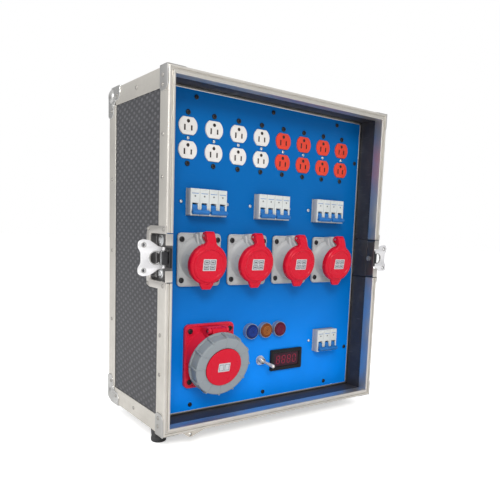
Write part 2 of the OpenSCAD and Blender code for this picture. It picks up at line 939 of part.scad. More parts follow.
// Toggles of one breaker, joined by a tie bar, resting in the lower position
module breaker_handle(poles) {
    translate([0, handle_y, handle_out]) {
        cross_shaft(1.5, poles * pole_w - 2);
        for (i = [0:poles - 1]) translate([pole_x(poles, i), 0, 0])
            cross_shaft(handle_drum_r, handle_w);
        rotate([handle_rest, 0, 0]) {
            for (i = [0:poles - 1]) translate([pole_x(poles, i), 0, 0])
                centred_box(handle_w, 5, 4, handle_len);
            translate([0, 0, handle_len]) cross_shaft(tie_bar_r, poles * pole_w - 3);
        }
    }
}

module placed_handle(i) {
    color([0.1, 0.3, 0.7]) on_panel(breakers[i][0], breakers[i][1])
        breaker_handle(breakers[i][2]);
}

module breaker_handle_1() {
    placed_handle(0);
}

module breaker_handle_2() {
    placed_handle(1);
}

module breaker_handle_3() {
    placed_handle(2);
}

module breaker_handle_4() {
    placed_handle(3);
}

module breaker_handle_5() {
    placed_handle(4);
}

module breaker_handle_6() {
    placed_handle(5);
}

module breaker_handle_7() {
    placed_handle(6);
}

// A top-hat rail with two hexagonal posts that reach the panel
module din_rail(post_x) {
    lip = breaker_back + 0.4;
    length = 2 * post_x + 13;
    difference() {
        union() {
            side_outline([
                [-17.5, lip], [-12.5, lip], [-12.5, lip - 6.5], [12.5, lip - 6.5],
                [12.5, lip], [17.5, lip], [17.5, lip + 1], [11.5, lip + 1],
                [11.5, lip - 5.5], [-11.5, lip - 5.5], [-11.5, lip + 1], [-17.5, lip + 1]
            ], length);
            for (s = [-1, 1]) translate([s * post_x, 0, lip - 6])
                cylinder(h = -panel_t - lip + 6, r = 4.6, $fn = 6);
        }
        for (s = [-1, 1]) translate([s * post_x, 0, -panel_t - 12])
            cylinder(h = 14, r = 1.6);
    }
}

module din_rails() {
    color("silver") for (g = rail_groups) on_panel(g[0], g[1]) din_rail(g[2]);
}

// ---- Sockets -------------------------------------------------------------

module at_sockets() {
    for (x = socket_xs) on_panel(x, socket_z) children();
}

module in_front_of(z) {
    intersection() {
        children();
        centred_box(far, far, z, far);
    }
}

module four_holes(dx, dy, r) {
    for (u = [-0.5, 0.5]) for (v = [-0.5, 0.5]) translate([u * dx, v * dy, -30])
        cylinder(h = 60, r = r);
}

module socket_housing() {
    base = gasket_t;
    top = gasket_t + socket_flange_t;
    difference() {
        union() {
            rounded_plate(socket_flange_w, socket_flange_h, 6, base, top);
            disc(30, -28, top);
            in_front_of(base) rotate([socket_tilt, 0, 0]) {
                disc(collar_r, -10, collar_end);
                side_outline([
                    [28, -8], [46, -8], [51.4, 16.8], [41.5, 16.8], [39.5, 22], [36, 28.5],
                    [28, 28.5]
                ], 21);
                side_outline([
                    [41.8, 15], [46.6, 15], [46.6, socket_pin[1]], [41.8, socket_pin[1]]
                ], barrel_w);
                translate([0, socket_pin[0], socket_pin[1]]) cross_shaft(5.8, barrel_w);
            }
        }
        rotate([socket_tilt, 0, 0]) {
            disc(28, 2, far);
            disc(22.2, -far, 3);
            translate([0, socket_pin[0], socket_pin[1]])
                cross_shaft(socket_pin_r + pin_gap, 60);
        }
        four_holes(socket_screw_pitch, socket_screw_pitch, m4_hole_r);
    }
}

module socket_housings() {
    color([0.72, 0.74, 0.73]) at_sockets() socket_housing();
}

module socket_gaskets() {
    color([0.1, 0.1, 0.1]) at_sockets() difference() {
        rounded_plate(socket_flange_w - 1, socket_flange_h - 1, 6, 0, gasket_t);
        disc(32, -1, 3);
        four_holes(socket_screw_pitch, socket_screw_pitch, m4_hole_r);
    }
}

module at_five(r) {
    for (i = [0:4]) rotate([0, 0, i * 72 - 90]) translate([r, 0, 0]) children();
}

module contact_carriers() {
    color([0.15, 0.15, 0.16]) at_sockets() rotate([socket_tilt, 0, 0]) difference() {
        union() {
            disc(22, -14, 22);
            disc(25, 2, 4);
        }
        at_five(14) disc(3.3 + pin_gap, -20, 30);
    }
    color([0.15, 0.15, 0.16]) on_panel(inlet_x, inlet_z) rotate([inlet_tilt, 0, 0])
        difference() {
            union() {
                disc(28, -22, 6);
                disc(32, 4, 6);
            }
            at_five(17.5) disc(4 + pin_gap, -30, 30);
        }
}

module contacts() {
    color([0.8, 0.65, 0.3]) at_sockets() rotate([socket_tilt, 0, 0])
        at_five(14) tube(3.3, 2.3, -17, 20);
    color([0.8, 0.65, 0.3]) on_panel(inlet_x, inlet_z) rotate([inlet_tilt, 0, 0])
        at_five(17.5) {
            disc(4, -26, 36);
            translate([0, 0, 36]) cylinder(h = 2, r1 = 4, r2 = 2.5);
        }
}

// A round spring lid, hinged at the top, with a lifting tab at the bottom
module socket_lid() {
    difference() {
        union() {
            disc(socket_lid_r, 33.4, 39.5);
            tube(socket_lid_r, collar_r + 0.6, 29.4, 33.5);
            translate([0, 0, 39.4]) cylinder(h = 1.6, r1 = socket_lid_r, r2 = socket_lid_r - 3);
            translate([0, 0, 40.9]) cylinder(h = 2, r1 = 29.5, r2 = 27.5);
            translate([0, 0, 34]) linear_extrude(5)
                polygon([[-15, -31], [15, -31], [8, -44], [-8, -44]]);
            side_outline([
                [29, 33.5], [29, 41.5], [38, 41.5], [51.5, 32.8], [54.3, 30], [54.9, 28.2],
                [53.2, 26], [47, 21], [42, 23.5], [38, 33.5]
            ], lug_w);
            translate([0, socket_pin[0], socket_pin[1]]) cross_shaft(6, lug_w);
        }
        translate([0, socket_pin[0], socket_pin[1]]) {
            cross_shaft(socket_pin_r + pin_gap, 60);
            cross_shaft(6.2, barrel_w + 0.6);
            translate([0, 6.8, 0]) centred_box(barrel_w + 0.6, 26, -20, 2.6);
        }
    }
}

module placed_lid(i) {
    color([0.85, 0.15, 0.22]) on_panel(socket_xs[i], socket_z)
        rotate([socket_tilt, 0, 0]) socket_lid();
}

module socket_lid_1() {
    placed_lid(0);
}

module socket_lid_2() {
    placed_lid(1);
}

module socket_lid_3() {
    placed_lid(2);
}

module socket_lid_4() {
    placed_lid(3);
}

module hinge_pins() {
    color("silver") at_sockets() rotate([socket_tilt, 0, 0])
        translate([0, socket_pin[0], socket_pin[1]]) cross_shaft(socket_pin_r, lug_w - 0.4);
    color("silver") on_panel(inlet_x, inlet_z) rotate([inlet_tilt, 0, 0])
        translate([0, inlet_pin[0], inlet_pin[1]]) cross_shaft(socket_pin_r, 40);
}

// ---- Inlet ---------------------------------------------------------------

module inlet_housing() {
    color([0.85, 0.15, 0.22]) on_panel(inlet_x, inlet_z) difference() {
        union() {
            rounded_plate(inlet_flange_w, inlet_flange_h, 8, 0, inlet_flange_t);
            disc(38, -36, inlet_flange_t);
            in_front_of(1) rotate([inlet_tilt, 0, 0]) {
                disc(shroud_r, -10, shroud_end);
                translate([0, 0, -3]) cylinder(h = 30, r1 = 50.5, r2 = shroud_r + 0.5);
                for (s = [-1, 1]) translate([s * 17.4, 0, 0]) {
                    side_outline([
                        [36, -6], [52, -6], [59.5, 18], [59.5, 22], [48.5, 22],
                        [44, 25], [36, 25]
                    ], 5);
                    translate([0, inlet_pin[0], inlet_pin[1]]) cross_shaft(5.8, 5);
                }
            }
        }
        rotate([inlet_tilt, 0, 0]) {
            disc(36, 4, far);
            disc(28.2, -far, 5);
            translate([0, inlet_pin[0], inlet_pin[1]])
                cross_shaft(socket_pin_r + pin_gap, 60);
        }
        four_holes(inlet_screws[0], inlet_screws[1], m4_hole_r);
    }
}

module inlet_lid() {
    color([0.88, 0.13, 0.22]) on_panel(inlet_x, inlet_z) rotate([inlet_tilt, 0, 0])
        difference() {
            union() {
                tube(47.2, 45.5, 32, 50);
                disc(47.2, 49, 52);
                disc(33, 51.9, 58.5);
                disc(34.6, 57.7, 59.2);
                side_outline([
                    [46, 30], [46, 33.4], [51, 33.4], [59, 26.5], [60, 22], [54, 16.5],
                    [48, 19.5], [46, 24]
                ], 28);
                translate([0, inlet_pin[0], inlet_pin[1]]) cross_shaft(6, 28);
            }
            translate([0, inlet_pin[0], inlet_pin[1]])
                cross_shaft(socket_pin_r + pin_gap, 60);
        }
}

// The bayonet ring that turns on the inlet lid
module inlet_ring() {
    color([0.68, 0.7, 0.7]) on_panel(inlet_x, inlet_z) rotate([inlet_tilt, 0, 0]) {
        tube(ring_r - 3, 47.5, ring_back, ring_front);
        tube(ring_r, 50, ring_back, ring_back + 3);
        tube(50, 33.4, 52.3, ring_front);
        for (i = [0:ring_ribs - 1]) rotate([0, 0, i * 360 / ring_ribs])
            translate([50, -1.6, ring_back]) cube([ring_r - 50 + 0.6, 3.2, ring_front - ring_back]);
    }
}

// ---- Indicators ----------------------------------------------------------

module pilot_lens() {
    disc(9, -3, 3);
    disc(lamp_r, 2, 10.5);
    translate([0, 0, 10.5]) cylinder(h = 2, r1 = lamp_r, r2 = lamp_r - 2.5);
}

module pilot_lens_blue() {
    color([0.02, 0.1, 0.5]) on_panel(lamp_x - lamp_pitch, lamp_z) pilot_lens();
}

module pilot_lens_amber() {
    color([0.75, 0.35, 0.1]) on_panel(lamp_x, lamp_z) pilot_lens();
}

module pilot_lens_red() {
    color([0.45, 0.02, 0.15]) on_panel(lamp_x + lamp_pitch, lamp_z) pilot_lens();
}

module pilot_bodies() {
    color([0.2, 0.2, 0.2]) for (i = [-1:1]) on_panel(lamp_x + i * lamp_pitch, lamp_z)
        difference() {
            union() {
                disc(lamp_r + 0.6, 0, 2);
                disc(11, -45, 1);
                translate([0, 0, -panel_t - 5]) cylinder(h = 5, r = 15, $fn = 6);
            }
            disc(9.1, -3, 3);
        }
}

module meter_housing() {
    color([0.06, 0.06, 0.07]) on_panel(meter_x, meter_z) difference() {
        union() {
            centred_box(meter_w, meter_h, 0, 5);
            centred_box(meter_w - 2, meter_h - 2, 4.9, 6);
            centred_box(72, 36.4, -28, 1);
        }
        centred_box(62, 27, 4, 10);
    }
}

module meter_window() {
    color([0.2, 0.02, 0.04]) on_panel(meter_x, meter_z) centred_box(61.6, 26.6, 4, 5.2);
}

module toggle_body() {
    color("silver") on_panel(toggle_x, toggle_z) difference() {
        union() {
            cylinder(h = 3, r = 8, $fn = 6);
            disc(6, -panel_t - 1, 11);
            centred_box(24, 15, -26, -panel_t);
        }
        translate([0, 0, toggle_pivot]) {
            sphere(r = 4.3);
            cylinder(h = 5, r1 = 2.6, r2 = 6.5);
            rotate([90, 0, toggle_turn]) cylinder(h = 10.6, r = 1 + pin_gap, center = true);
        }
    }
}

module toggle_lever() {
    color("silver") on_panel(toggle_x, toggle_z) translate([0, 0, toggle_pivot])
        rotate([0, 0, toggle_turn]) rotate([0, lever_tilt, 0]) {
            sphere(r = 4.2);
            rotate([90, 0, 0]) cylinder(h = 10, r = 1, center = true);
            cylinder(h = lever_len, r1 = 1.8, r2 = 3);
            translate([0, 0, lever_len]) sphere(r = 3);
        }
}

// ---- Inside --------------------------------------------------------------

// Earth and neutral bars on the back panel
module terminal_blocks() {
    color([0.75, 0.6, 0.25]) for (x = [-150, 150]) translate([x, inside_y, mid_z - 60])
        rotate([90, 0, 0]) difference() {
            union() {
                centred_box(90, 12, 10, 20);
                for (s = [-1, 1]) translate([s * 36, 0, 0]) centred_box(12, 16, 0, 10.1);
            }
            for (i = [-4:4]) translate([i * 9, 0, 8]) cylinder(h = 20, r = 2.5);
        }
}

// A straight lead from the loom to local height z behind the panel
module lead(r, z) {
    disc(r, loom_back, z);
}

// A lead that bends into a breaker terminal
module terminal_lead(side) {
    translate([0, side * 46, 0]) {
        lead(3, -20);
        translate([0, 0, -20]) sphere(r = 3);
        translate([0, 0, -20]) rotate([side * 90, 0, 0]) cylinder(h = 12, r = 3);
    }
}

// The cable loom on the back panel, and its leads to every device
module wiring() {
    color([0.12, 0.12, 0.12]) {
        on_panel(0, 0) {
            for (z = loom_rows) translate([0, z, loom_back]) cross_shaft(8, 372);
            translate([0, loom_rows[0], loom_back]) rotate([-90, 0, 0])
                cylinder(h = loom_rows[6] - loom_rows[0], r = 8.5);
        }
        for (x = outlet_xs) on_panel(x, outlet_z) lead(3.5, outlet_back - 1.5);
        for (x = socket_xs) on_panel(x, socket_z) lead(7, -30);
        on_panel(inlet_x, inlet_z) lead(12, -38);
        for (i = [-1:1]) on_panel(lamp_x + i * lamp_pitch, lamp_z) lead(2.5, -45.2);
        on_panel(meter_x, meter_z) lead(2.5, -28.2);
        on_panel(toggle_x, toggle_z) lead(2.5, -26.2);
        for (b = breakers) for (i = [0:b[2] - 1]) for (s = [-1, 1])
            on_panel(b[0] + pole_x(b[2], i), b[1]) terminal_lead(s);
    }
}

left_side_panel();
right_side_panel();
top_panel();
bottom_panel();
back_panel();
front_profile();
edge_angles();
ball_corners();
corner_braces();
case_rivets();
rubber_feet();
tie_down_eye();
latch_dishes();
latch_hub_left();
latch_hub_right();
latch_wing_left();
latch_wing_right();
latch_hook_left();
latch_hook_right();
handle_dish();
handle_bail();
panel_frame();
front_panel();
panel_screws();
outlets_white();
outlets_orange();
outlet_yokes();
steel_screws();
breaker_bodies();
breaker_handle_1();
breaker_handle_2();
breaker_handle_3();
breaker_handle_4();
breaker_handle_5();
breaker_handle_6();
breaker_handle_7();
din_rails();
socket_housings();
socket_gaskets();
contact_carriers();
contacts();
socket_lid_1();
socket_lid_2();
socket_lid_3();
socket_lid_4();
hinge_pins();
inlet_housing();
inlet_lid();
inlet_ring();
flange_screws();
pilot_lens_blue();
pilot_lens_amber();
pilot_lens_red();
pilot_bodies();
meter_housing();
meter_window();
toggle_body();
toggle_lever();
terminal_blocks();
wiring();
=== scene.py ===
"""Looks of the portable power distribution box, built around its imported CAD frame."""
import json
import math

import bmesh
import bpy
from mathutils import Matrix, Vector


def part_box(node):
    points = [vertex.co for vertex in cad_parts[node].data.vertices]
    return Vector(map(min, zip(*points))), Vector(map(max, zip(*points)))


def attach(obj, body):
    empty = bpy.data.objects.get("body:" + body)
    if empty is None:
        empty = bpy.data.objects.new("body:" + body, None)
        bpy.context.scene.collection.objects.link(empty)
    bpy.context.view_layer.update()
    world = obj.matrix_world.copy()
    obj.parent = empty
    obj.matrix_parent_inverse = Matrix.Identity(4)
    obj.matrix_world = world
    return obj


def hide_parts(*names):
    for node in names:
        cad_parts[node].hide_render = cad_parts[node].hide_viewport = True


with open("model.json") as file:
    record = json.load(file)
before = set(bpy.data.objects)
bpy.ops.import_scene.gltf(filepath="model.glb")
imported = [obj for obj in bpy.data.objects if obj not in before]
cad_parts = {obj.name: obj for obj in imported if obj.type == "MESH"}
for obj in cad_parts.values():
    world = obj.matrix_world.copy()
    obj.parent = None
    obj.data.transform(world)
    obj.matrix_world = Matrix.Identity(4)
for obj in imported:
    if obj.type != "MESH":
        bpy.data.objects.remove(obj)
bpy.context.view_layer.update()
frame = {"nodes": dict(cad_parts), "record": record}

MM = 0.001
NODES = frame["nodes"]


# ---- Places, in millimetres, read from the frame ------------------------

def node_box(name):
    low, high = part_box(name)
    return [v / MM for v in low], [v / MM for v in high]


profile_low, profile_high = node_box("front_profile")
HALF_W = profile_high[0]
FOOT_H = profile_low[2]
TOP_Z = profile_high[2]
MID_Z = (FOOT_H + TOP_Z) / 2
HALF_H = (TOP_Z - FOOT_H) / 2
FRONT_Y = profile_low[1]
BACK_Y = -FRONT_Y
PANEL_Y = node_box("front_panel")[0][1]


def rot_x(degrees):
    return Matrix.Rotation(math.radians(degrees), 4, "X")


def rot_y(degrees):
    return Matrix.Rotation(math.radians(degrees), 4, "Y")


def rot_z(degrees):
    return Matrix.Rotation(math.radians(degrees), 4, "Z")


def move(x=0, y=0, z=0):
    return Matrix.Translation((x, y, z))


def flipped(x=1, y=1, z=1):
    return Matrix.Diagonal((x, y, z, 1))


# Takes X, Y, Z to Y, Z, X.
CYCLE = Matrix(((0, 0, 1, 0), (1, 0, 0, 0), (0, 1, 0, 0), (0, 0, 0, 1)))


def on_panel(x, z):
    """Panel frame: X to the right, Y up, Z out of the panel's face."""
    return move(x, PANEL_Y, MID_Z + z) @ rot_x(90)


def centre_of(name):
    """Panel X and Z of a CAD node's centre, and half its width."""
    low, high = node_box(name)
    return (low[0] + high[0]) / 2, (low[2] + high[2]) / 2 - MID_Z, (high[0] - low[0]) / 2


def each_corner(half_w, half_h):
    return [(u, v) for u in (-half_w, half_w) for v in (-half_h, half_h)]


# ---- Materials ------------------------

LOOKS = {}


class Graph:
    """Short-hand for building the node tree of a material or a world."""

    def __init__(self, owner):
        owner.use_nodes = True
        self.tree = owner.node_tree
        self.tree.nodes.clear()
        self.texture = self.node("ShaderNodeTexCoord")
        self.coords = self.texture.outputs["Object"]

    def node(self, kind, inputs=None, **settings):
        made = self.tree.nodes.new(kind)
        for key, value in settings.items():
            setattr(made, key, value)
        for key, value in (inputs or {}).items():
            if isinstance(value, bpy.types.NodeSocket):
                self.tree.links.new(value, made.inputs[key])
            else:
                made.inputs[key].default_value = value
        return made

    def math(self, operation, a, b=0.0):
        return self.node("ShaderNodeMath", {0: a, 1: b}, operation=operation).outputs[0]

    def times(self, a, b):
        return self.math("MULTIPLY", a, b)

    def noise(self, scale, detail=3.0, rough=0.55, stretch=None):
        vector = self.coords
        if stretch:
            vector = self.node("ShaderNodeMapping", {"Vector": vector, "Scale": stretch}).outputs[0]
        return self.node("ShaderNodeTexNoise", {
            "Vector": vector, "Scale": scale, "Detail": detail, "Roughness": rough}).outputs["Fac"]

    def range(self, value, low, high, new_low=0.0, new_high=1.0, **settings):
        return self.node("ShaderNodeMapRange", {
            "Value": value, "From Min": low, "From Max": high,
            "To Min": new_low, "To Max": new_high}, **settings).outputs[0]

    def cloud(self, scale, detail, low, high, rough=0.55):
        """Noise whose middle part is spread over 0 to 1."""
        return self.range(self.noise(scale, detail, rough), low, high)

    def mix(self, factor, a, b):
        return self.node("ShaderNodeMix", {0: factor, 6: a, 7: b}, data_type="RGBA").outputs[2]

    def split(self, vector):
        return self.node("ShaderNodeSeparateXYZ", {0: vector}).outputs

    def normal(self):
        return self.node("ShaderNodeNewGeometry").outputs["Normal"]

    def softened(self, radius):
        """The surface normal with its edges rounded."""
        return self.node("ShaderNodeBevel", {"Radius": radius}, samples=4).outputs[0]

    def edges(self, radius):
        """1 on convex edges, 0 on flat faces, by comparing a rounded normal with the real one."""
        dot = self.node("ShaderNodeVectorMath", {0: self.softened(radius), 1: self.normal()},
                        operation="DOT_PRODUCT")
        return self.range(dot.outputs["Value"], 0.999, 0.90)

    def bump(self, height, strength, distance, radius=None):
        inputs = {"Height": height, "Strength": strength, "Distance": distance}
        if radius:
            inputs["Normal"] = self.softened(radius)
        return self.node("ShaderNodeBump", inputs).outputs[0]

    def surface(self, **inputs):
        names = {key.replace("_", " "): value for key, value in inputs.items()}
        shader = self.node("ShaderNodeBsdfPrincipled", names)
        self.node("ShaderNodeOutputMaterial", {"Surface": shader.outputs[0]})


def look_graph(name):
    """The graph of a new look."""
    LOOKS[name] = bpy.data.materials.new(name)
    return Graph(LOOKS[name])


def rgb(r, g, b):
    return (r, g, b, 1.0)


def shade(color, factor, lift=0.0):
    return rgb(*(min(1.0, c * factor + lift) for c in color[:3]))


def plastic(name, color, rough=0.35, dirt=0.35, shine=0.4):
    """Moulded plastic: faint mottling, fine grain, edges lightened in patches partly by wear and partly
    as a painted highlight, and a little dust.
    """
    g = look_graph(name)
    cloud = g.cloud(30, 4, 0.35, 0.7)
    speck = g.noise(900, 2)
    # edges lightened in patches: part wear, part painted highlight
    edge_wear_and_highlight = g.times(g.edges(0.0008), g.cloud(260, 3, 0.4, 0.65))
    base = g.mix(g.times(cloud, dirt), color, shade(color, 0.72))
    base = g.mix(g.times(edge_wear_and_highlight, 0.35), base, shade(color, 1.25, 0.03))
    roughness = g.math("ADD", g.range(cloud, 0, 1, rough - 0.05, rough + 0.09),
                       g.times(speck, 0.06))
    g.surface(Base_Color=base, Roughness=roughness, Specular_IOR_Level=shine,
              Normal=g.bump(speck, 0.3, 0.00005, 0.0004))


def metal(name, color, rough=0.35, streak=None, grime=0.3, edge=0.0005, metallic=1.0,
          dent=0.1):
    """Bare metal: brushed along `streak` (large numbers across the grain), stained, with a painted
    highlight lightening its edges.
    """
    g = look_graph(name)
    stains = g.cloud(18, 6, 0.38, 0.72, 0.6)
    fine = g.noise(1.0, 3, 0.6, stretch=streak) if streak else g.noise(420, 4)
    base = g.mix(g.times(stains, grime), color, shade(color, 0.62))
    base = g.mix(g.times(g.range(fine, 0.3, 0.7), 0.18), base, shade(color, 0.75))
    # painted highlight: convex edges lightened
    base = g.mix(g.times(g.edges(edge * 2), 0.5), base, shade(color, 1.2))
    roughness = g.math("ADD", g.range(stains, 0, 1, rough, rough + 0.14), g.times(fine, 0.1))
    height = g.math("ADD", g.times(fine, 0.4), g.times(stains, 0.6))
    g.surface(Base_Color=base, Roughness=roughness, Metallic=metallic,
              Normal=g.bump(height, dent, 0.0001, edge))


PAD_PITCH = (0.0206, 0.0116)


def laminate(name, first, second):
    """Hot-press laminate: outside, a staggered lattice of small raised pads; smooth inside."""
    g = look_graph(name)
    place, facing = g.split(g.coords), g.split(g.normal())
    across = 3 - first - second
    middle = MID_Z * MM if across == 2 else 0.0
    outward = g.times(g.math("SUBTRACT", place[across], middle), facing[across])
    outside = g.math("GREATER_THAN", outward, 0.02)
    u = g.math("DIVIDE", place[first], PAD_PITCH[0])
    v = g.math("DIVIDE", place[second], PAD_PITCH[1])
    waves = [g.math("POWER", g.math("COSINE", g.times(g.math(kind, u, v), math.pi)), 2.0)
             for kind in ("ADD", "SUBTRACT")]
    pads = g.times(g.range(g.times(*waves), 0.2, 0.62), outside)
    wear = g.cloud(38, 5, 0.45, 0.75, 0.65)
    scuff = g.range(g.noise(1.0, 3, 0.6, stretch=(40, 40, 400)), 0.62, 0.72)
    speck = g.noise(1400, 2)
    base = g.mix(outside, rgb(0.030, 0.029, 0.034), rgb(0.036, 0.036, 0.041))
    base = g.mix(pads, base, rgb(0.088, 0.089, 0.097))
    base = g.mix(g.times(wear, 0.16), base, rgb(0.15, 0.15, 0.155))
    base = g.mix(g.times(scuff, 0.14), base, rgb(0.26, 0.26, 0.26))
    height = g.math("ADD", pads, g.times(speck, 0.12))
    g.surface(Base_Color=base, Roughness=g.range(wear, 0, 1, 0.46, 0.6),
              Specular_IOR_Level=0.35, Normal=g.bump(height, 0.6, 0.0004))


def panel_paint(name):
    """Blue coat with painted shade darkening it towards the top and a painted highlight lightening its
    edges: orange peel, faint scratches.
    """
    g = look_graph(name)
    peel = g.noise(330, 2)
    cloud = g.cloud(9, 4, 0.35, 0.7)
    scratch = g.range(g.noise(1.0, 2, 0.5, stretch=(30, 1, 700)), 0.66, 0.72)
    # painted shade: the blue darkens over the panel's upper part, as if the case's top shaded it
    painted_top_shade = g.range(g.split(g.coords)[2], 0.08, 0.30)
    base = g.mix(painted_top_shade, rgb(0.0, 0.275, 1.0), rgb(0.0, 0.118, 0.385))
    base = g.mix(g.times(cloud, 0.25), base, rgb(0.0, 0.12, 0.45))
    base = g.mix(g.times(scratch, 0.1), base, rgb(0.08, 0.32, 0.72))
    # painted highlight: convex edges lightened
    base = g.mix(g.edges(0.0006), base, rgb(0.25, 0.42, 0.65))
    g.surface(Base_Color=base, Roughness=g.range(cloud, 0, 1, 0.34, 0.44),
              Specular_IOR_Level=0.12, Normal=g.bump(peel, 0.1, 0.0001, 0.0004))


def lens(name, color, glow):
    """Tinted clear cap: darker at grazing angles as painted shade of its rim, glowing where one looks
    straight in.
    """
    g = look_graph(name)
    cloud = g.cloud(120, 3, 0.3, 0.7)
    facing = g.node("ShaderNodeLayerWeight", {"Blend": 0.35}).outputs["Facing"]
    # painted shade: the tint darkens towards grazing angles, standing in for the shaded rim of the dome
    base = g.mix(g.range(facing, 0.25, 0.75), g.mix(cloud, color, shade(color, 0.7)),
                 shade(color, 0.3))
    g.surface(Base_Color=base, Roughness=g.range(cloud, 0, 1, 0.16, 0.26),
              Specular_IOR_Level=0.22, Emission_Color=color,
              Emission_Strength=g.range(facing, 0.2, 0.7, glow, 0.0),
              Normal=g.bump(g.noise(500, 2), 0.05, 0.0001, 0.0005))


def rubber(name):
    """Matt rubber with a bloom of dust."""
    g = look_graph(name)
    dust = g.cloud(60, 5, 0.4, 0.75, 0.65)
    base = g.mix(g.times(dust, 0.5), rgb(0.022, 0.023, 0.026), rgb(0.08, 0.08, 0.08))
    g.surface(Base_Color=base, Roughness=g.range(dust, 0, 1, 0.55, 0.8),
              Normal=g.bump(g.noise(700, 3), 0.3, 0.0001, 0.0006))


def make_looks():
    """Every look on the box; a look's name is what Build.use() takes."""
    for name, first, second in (("side", 1, 2), ("cap", 0, 1), ("back", 0, 2)):
        laminate("laminate_" + name, first, second)
    alu = rgb(0.72, 0.69, 0.635)
    for axis, streak in (("x", (10, 500, 500)), ("y", (500, 10, 500)), ("z", (500, 500, 10))):
        metal("alu_" + axis, alu, 0.36, streak, grime=0.34)
    metal("steel", rgb(0.55, 0.55, 0.55), 0.36, dent=0.16)
    metal("brace_steel", rgb(0.54, 0.535, 0.52), 0.32, dent=0.14, grime=0.4)
    metal("ball_steel", rgb(0.58, 0.575, 0.56), 0.18, grime=0.4, edge=0.0008)
    metal("dish_steel", rgb(0.66, 0.63, 0.59), 0.24, dent=0.08)
    # a darker copy of the dish steel: painted shade for the tub's walls and floor
    metal("tub_steel", rgb(0.17, 0.165, 0.165), 0.34, grime=0.5)
    metal("wing_steel", rgb(0.92, 0.91, 0.92), 0.3, metallic=0.8, dent=0.02, grime=0.1)
    metal("eye_steel", rgb(0.68, 0.64, 0.57), 0.28)
    metal("rivet_alu", rgb(0.40, 0.385, 0.36), 0.3, dent=0.08)
    metal("latch_black", rgb(0.022, 0.022, 0.025), 0.3, metallic=0.25, dent=0.08)
    metal("lamp_rim", rgb(0.5, 0.51, 0.53), 0.25, metallic=0.8, dent=0.03)
    metal("bright_steel", rgb(0.72, 0.72, 0.73), 0.22, dent=0.06, grime=0.15)
    metal("black_steel", rgb(0.03, 0.03, 0.033), 0.35, dent=0.08, metallic=0.6)
    metal("chrome", rgb(0.68, 0.69, 0.7), 0.16, dent=0.03, grime=0.2)
    metal("toggle_steel", rgb(0.74, 0.73, 0.69), 0.38, metallic=0.55, dent=0.03)
    metal("brass", rgb(0.75, 0.55, 0.22), 0.25, dent=0.05)
    rubber("rubber")
    panel_paint("blue_paint")
    plastic("white", rgb(0.76, 0.735, 0.71), 0.32)
    plastic("orange", rgb(0.70, 0.05, 0.024), 0.34)
    plastic("cream", rgb(0.62, 0.645, 0.63), 0.42)
    plastic("blue_plastic", rgb(0.01, 0.15, 0.46), 0.34)
    # a greyer copy of the breaker cream: painted shade for the breakers' flanks and sides
    plastic("breaker_grey", rgb(0.46, 0.465, 0.46), 0.45)
    plastic("grey", rgb(0.46, 0.47, 0.475), 0.4)
    plastic("light_grey", rgb(0.26, 0.29, 0.31), 0.4, dirt=0.15)
    # near-black plastic put behind outlet holes as painted shade
    plastic("well", rgb(0.05, 0.04, 0.038), 0.6, shine=0.1)
    plastic("label_grey", rgb(0.56, 0.58, 0.60), 0.38)
    plastic("label_dark", rgb(0.10, 0.105, 0.12), 0.4)
    plastic("red", rgb(0.60, 0.004, 0.024), 0.24, dirt=0.12, shine=0.2)
    plastic("inlet_red", rgb(0.70, 0.016, 0.048), 0.28, dirt=0.2, shine=0.25)
    plastic("black", rgb(0.012, 0.012, 0.014), 0.4, shine=0.2)
    for tint, color, core in (
            ("blue", rgb(0.001, 0.014, 0.11), rgb(0.003, 0.05, 0.36)),
            ("amber", rgb(0.14, 0.035, 0.006), rgb(0.42, 0.15, 0.02)),
            ("red", rgb(0.075, 0.001, 0.014), rgb(0.18, 0.005, 0.04))):
        lens(tint + "_lens", color, 0.35)
        lens(tint + "_glow", core, 0.45)
    lens("dark_window", rgb(0.034, 0.006, 0.016), 0.2)
    lens("digit_glow", rgb(0.26, 0.014, 0.04), 0.45)


def slot_look(slot):
    """The look for a material slot of the record: mostly the slot's own name."""
    named = {"aluminium": "alu_z", "blue_plastic": "blue_plastic"}
    return named.get(slot, slot.removesuffix("_plastic"))


PANEL_LOOKS = {
    "left_side_panel": "laminate_side", "right_side_panel": "laminate_side",
    "top_panel": "laminate_cap", "bottom_panel": "laminate_cap", "back_panel": "laminate_back",
}


def dress_cad_nodes():
    """Gives every carried-over CAD node its procedural material."""
    slots = {s["node"]: s["material_slot"] for s in frame["record"]["subparts"]}
    for name, obj in NODES.items():
        look = PANEL_LOOKS.get(name) or slot_look(slots[name])
        obj.data.materials.clear()
        obj.data.materials.append(LOOKS[look])
        for polygon in obj.data.polygons:
            polygon.use_smooth = False


make_looks()
dress_cad_nodes()


# ---- Shapes ------------------------

def rounded(points, radius, steps=5, closed=True):
    """Outline with its corners rounded; a point's third value, if any, is its own radius."""
    result, count = [], len(points)
    for i, point in enumerate(points):
        own = point[2] if len(point) > 2 else radius
        here = Vector(point[:2])
        if own <= 0 or (not closed and i in (0, count - 1)):
            result.append(tuple(here))
            continue
        back = Vector(points[i - 1][:2]) - here
        ahead = Vector(points[(i + 1) % count][:2]) - here
        half = back.angle(ahead) / 2
        if half > math.radians(89):
            result.append(tuple(here))
            continue
        reach = min(own / math.tan(half), back.length * 0.499, ahead.length * 0.499)
        size = reach * math.tan(half)
        centre = here + (back.normalized() + ahead.normalized()).normalized() * (
            size / math.sin(half))
        first = here + back.normalized() * reach - centre
        last = here + ahead.normalized() * reach - centre
        start = math.atan2(first.y, first.x)
        sweep = math.atan2(last.y, last.x) - start
        sweep = (sweep + math.pi) % (2 * math.pi) - math.pi
        for k in range(steps + 1):
            angle = start + sweep * k / steps
            result.append((centre.x + size * math.cos(angle), centre.y + size * math.sin(angle)))
    return result


SIGNS = ((-1, -1), (1, -1), (1, 1), (-1, 1))


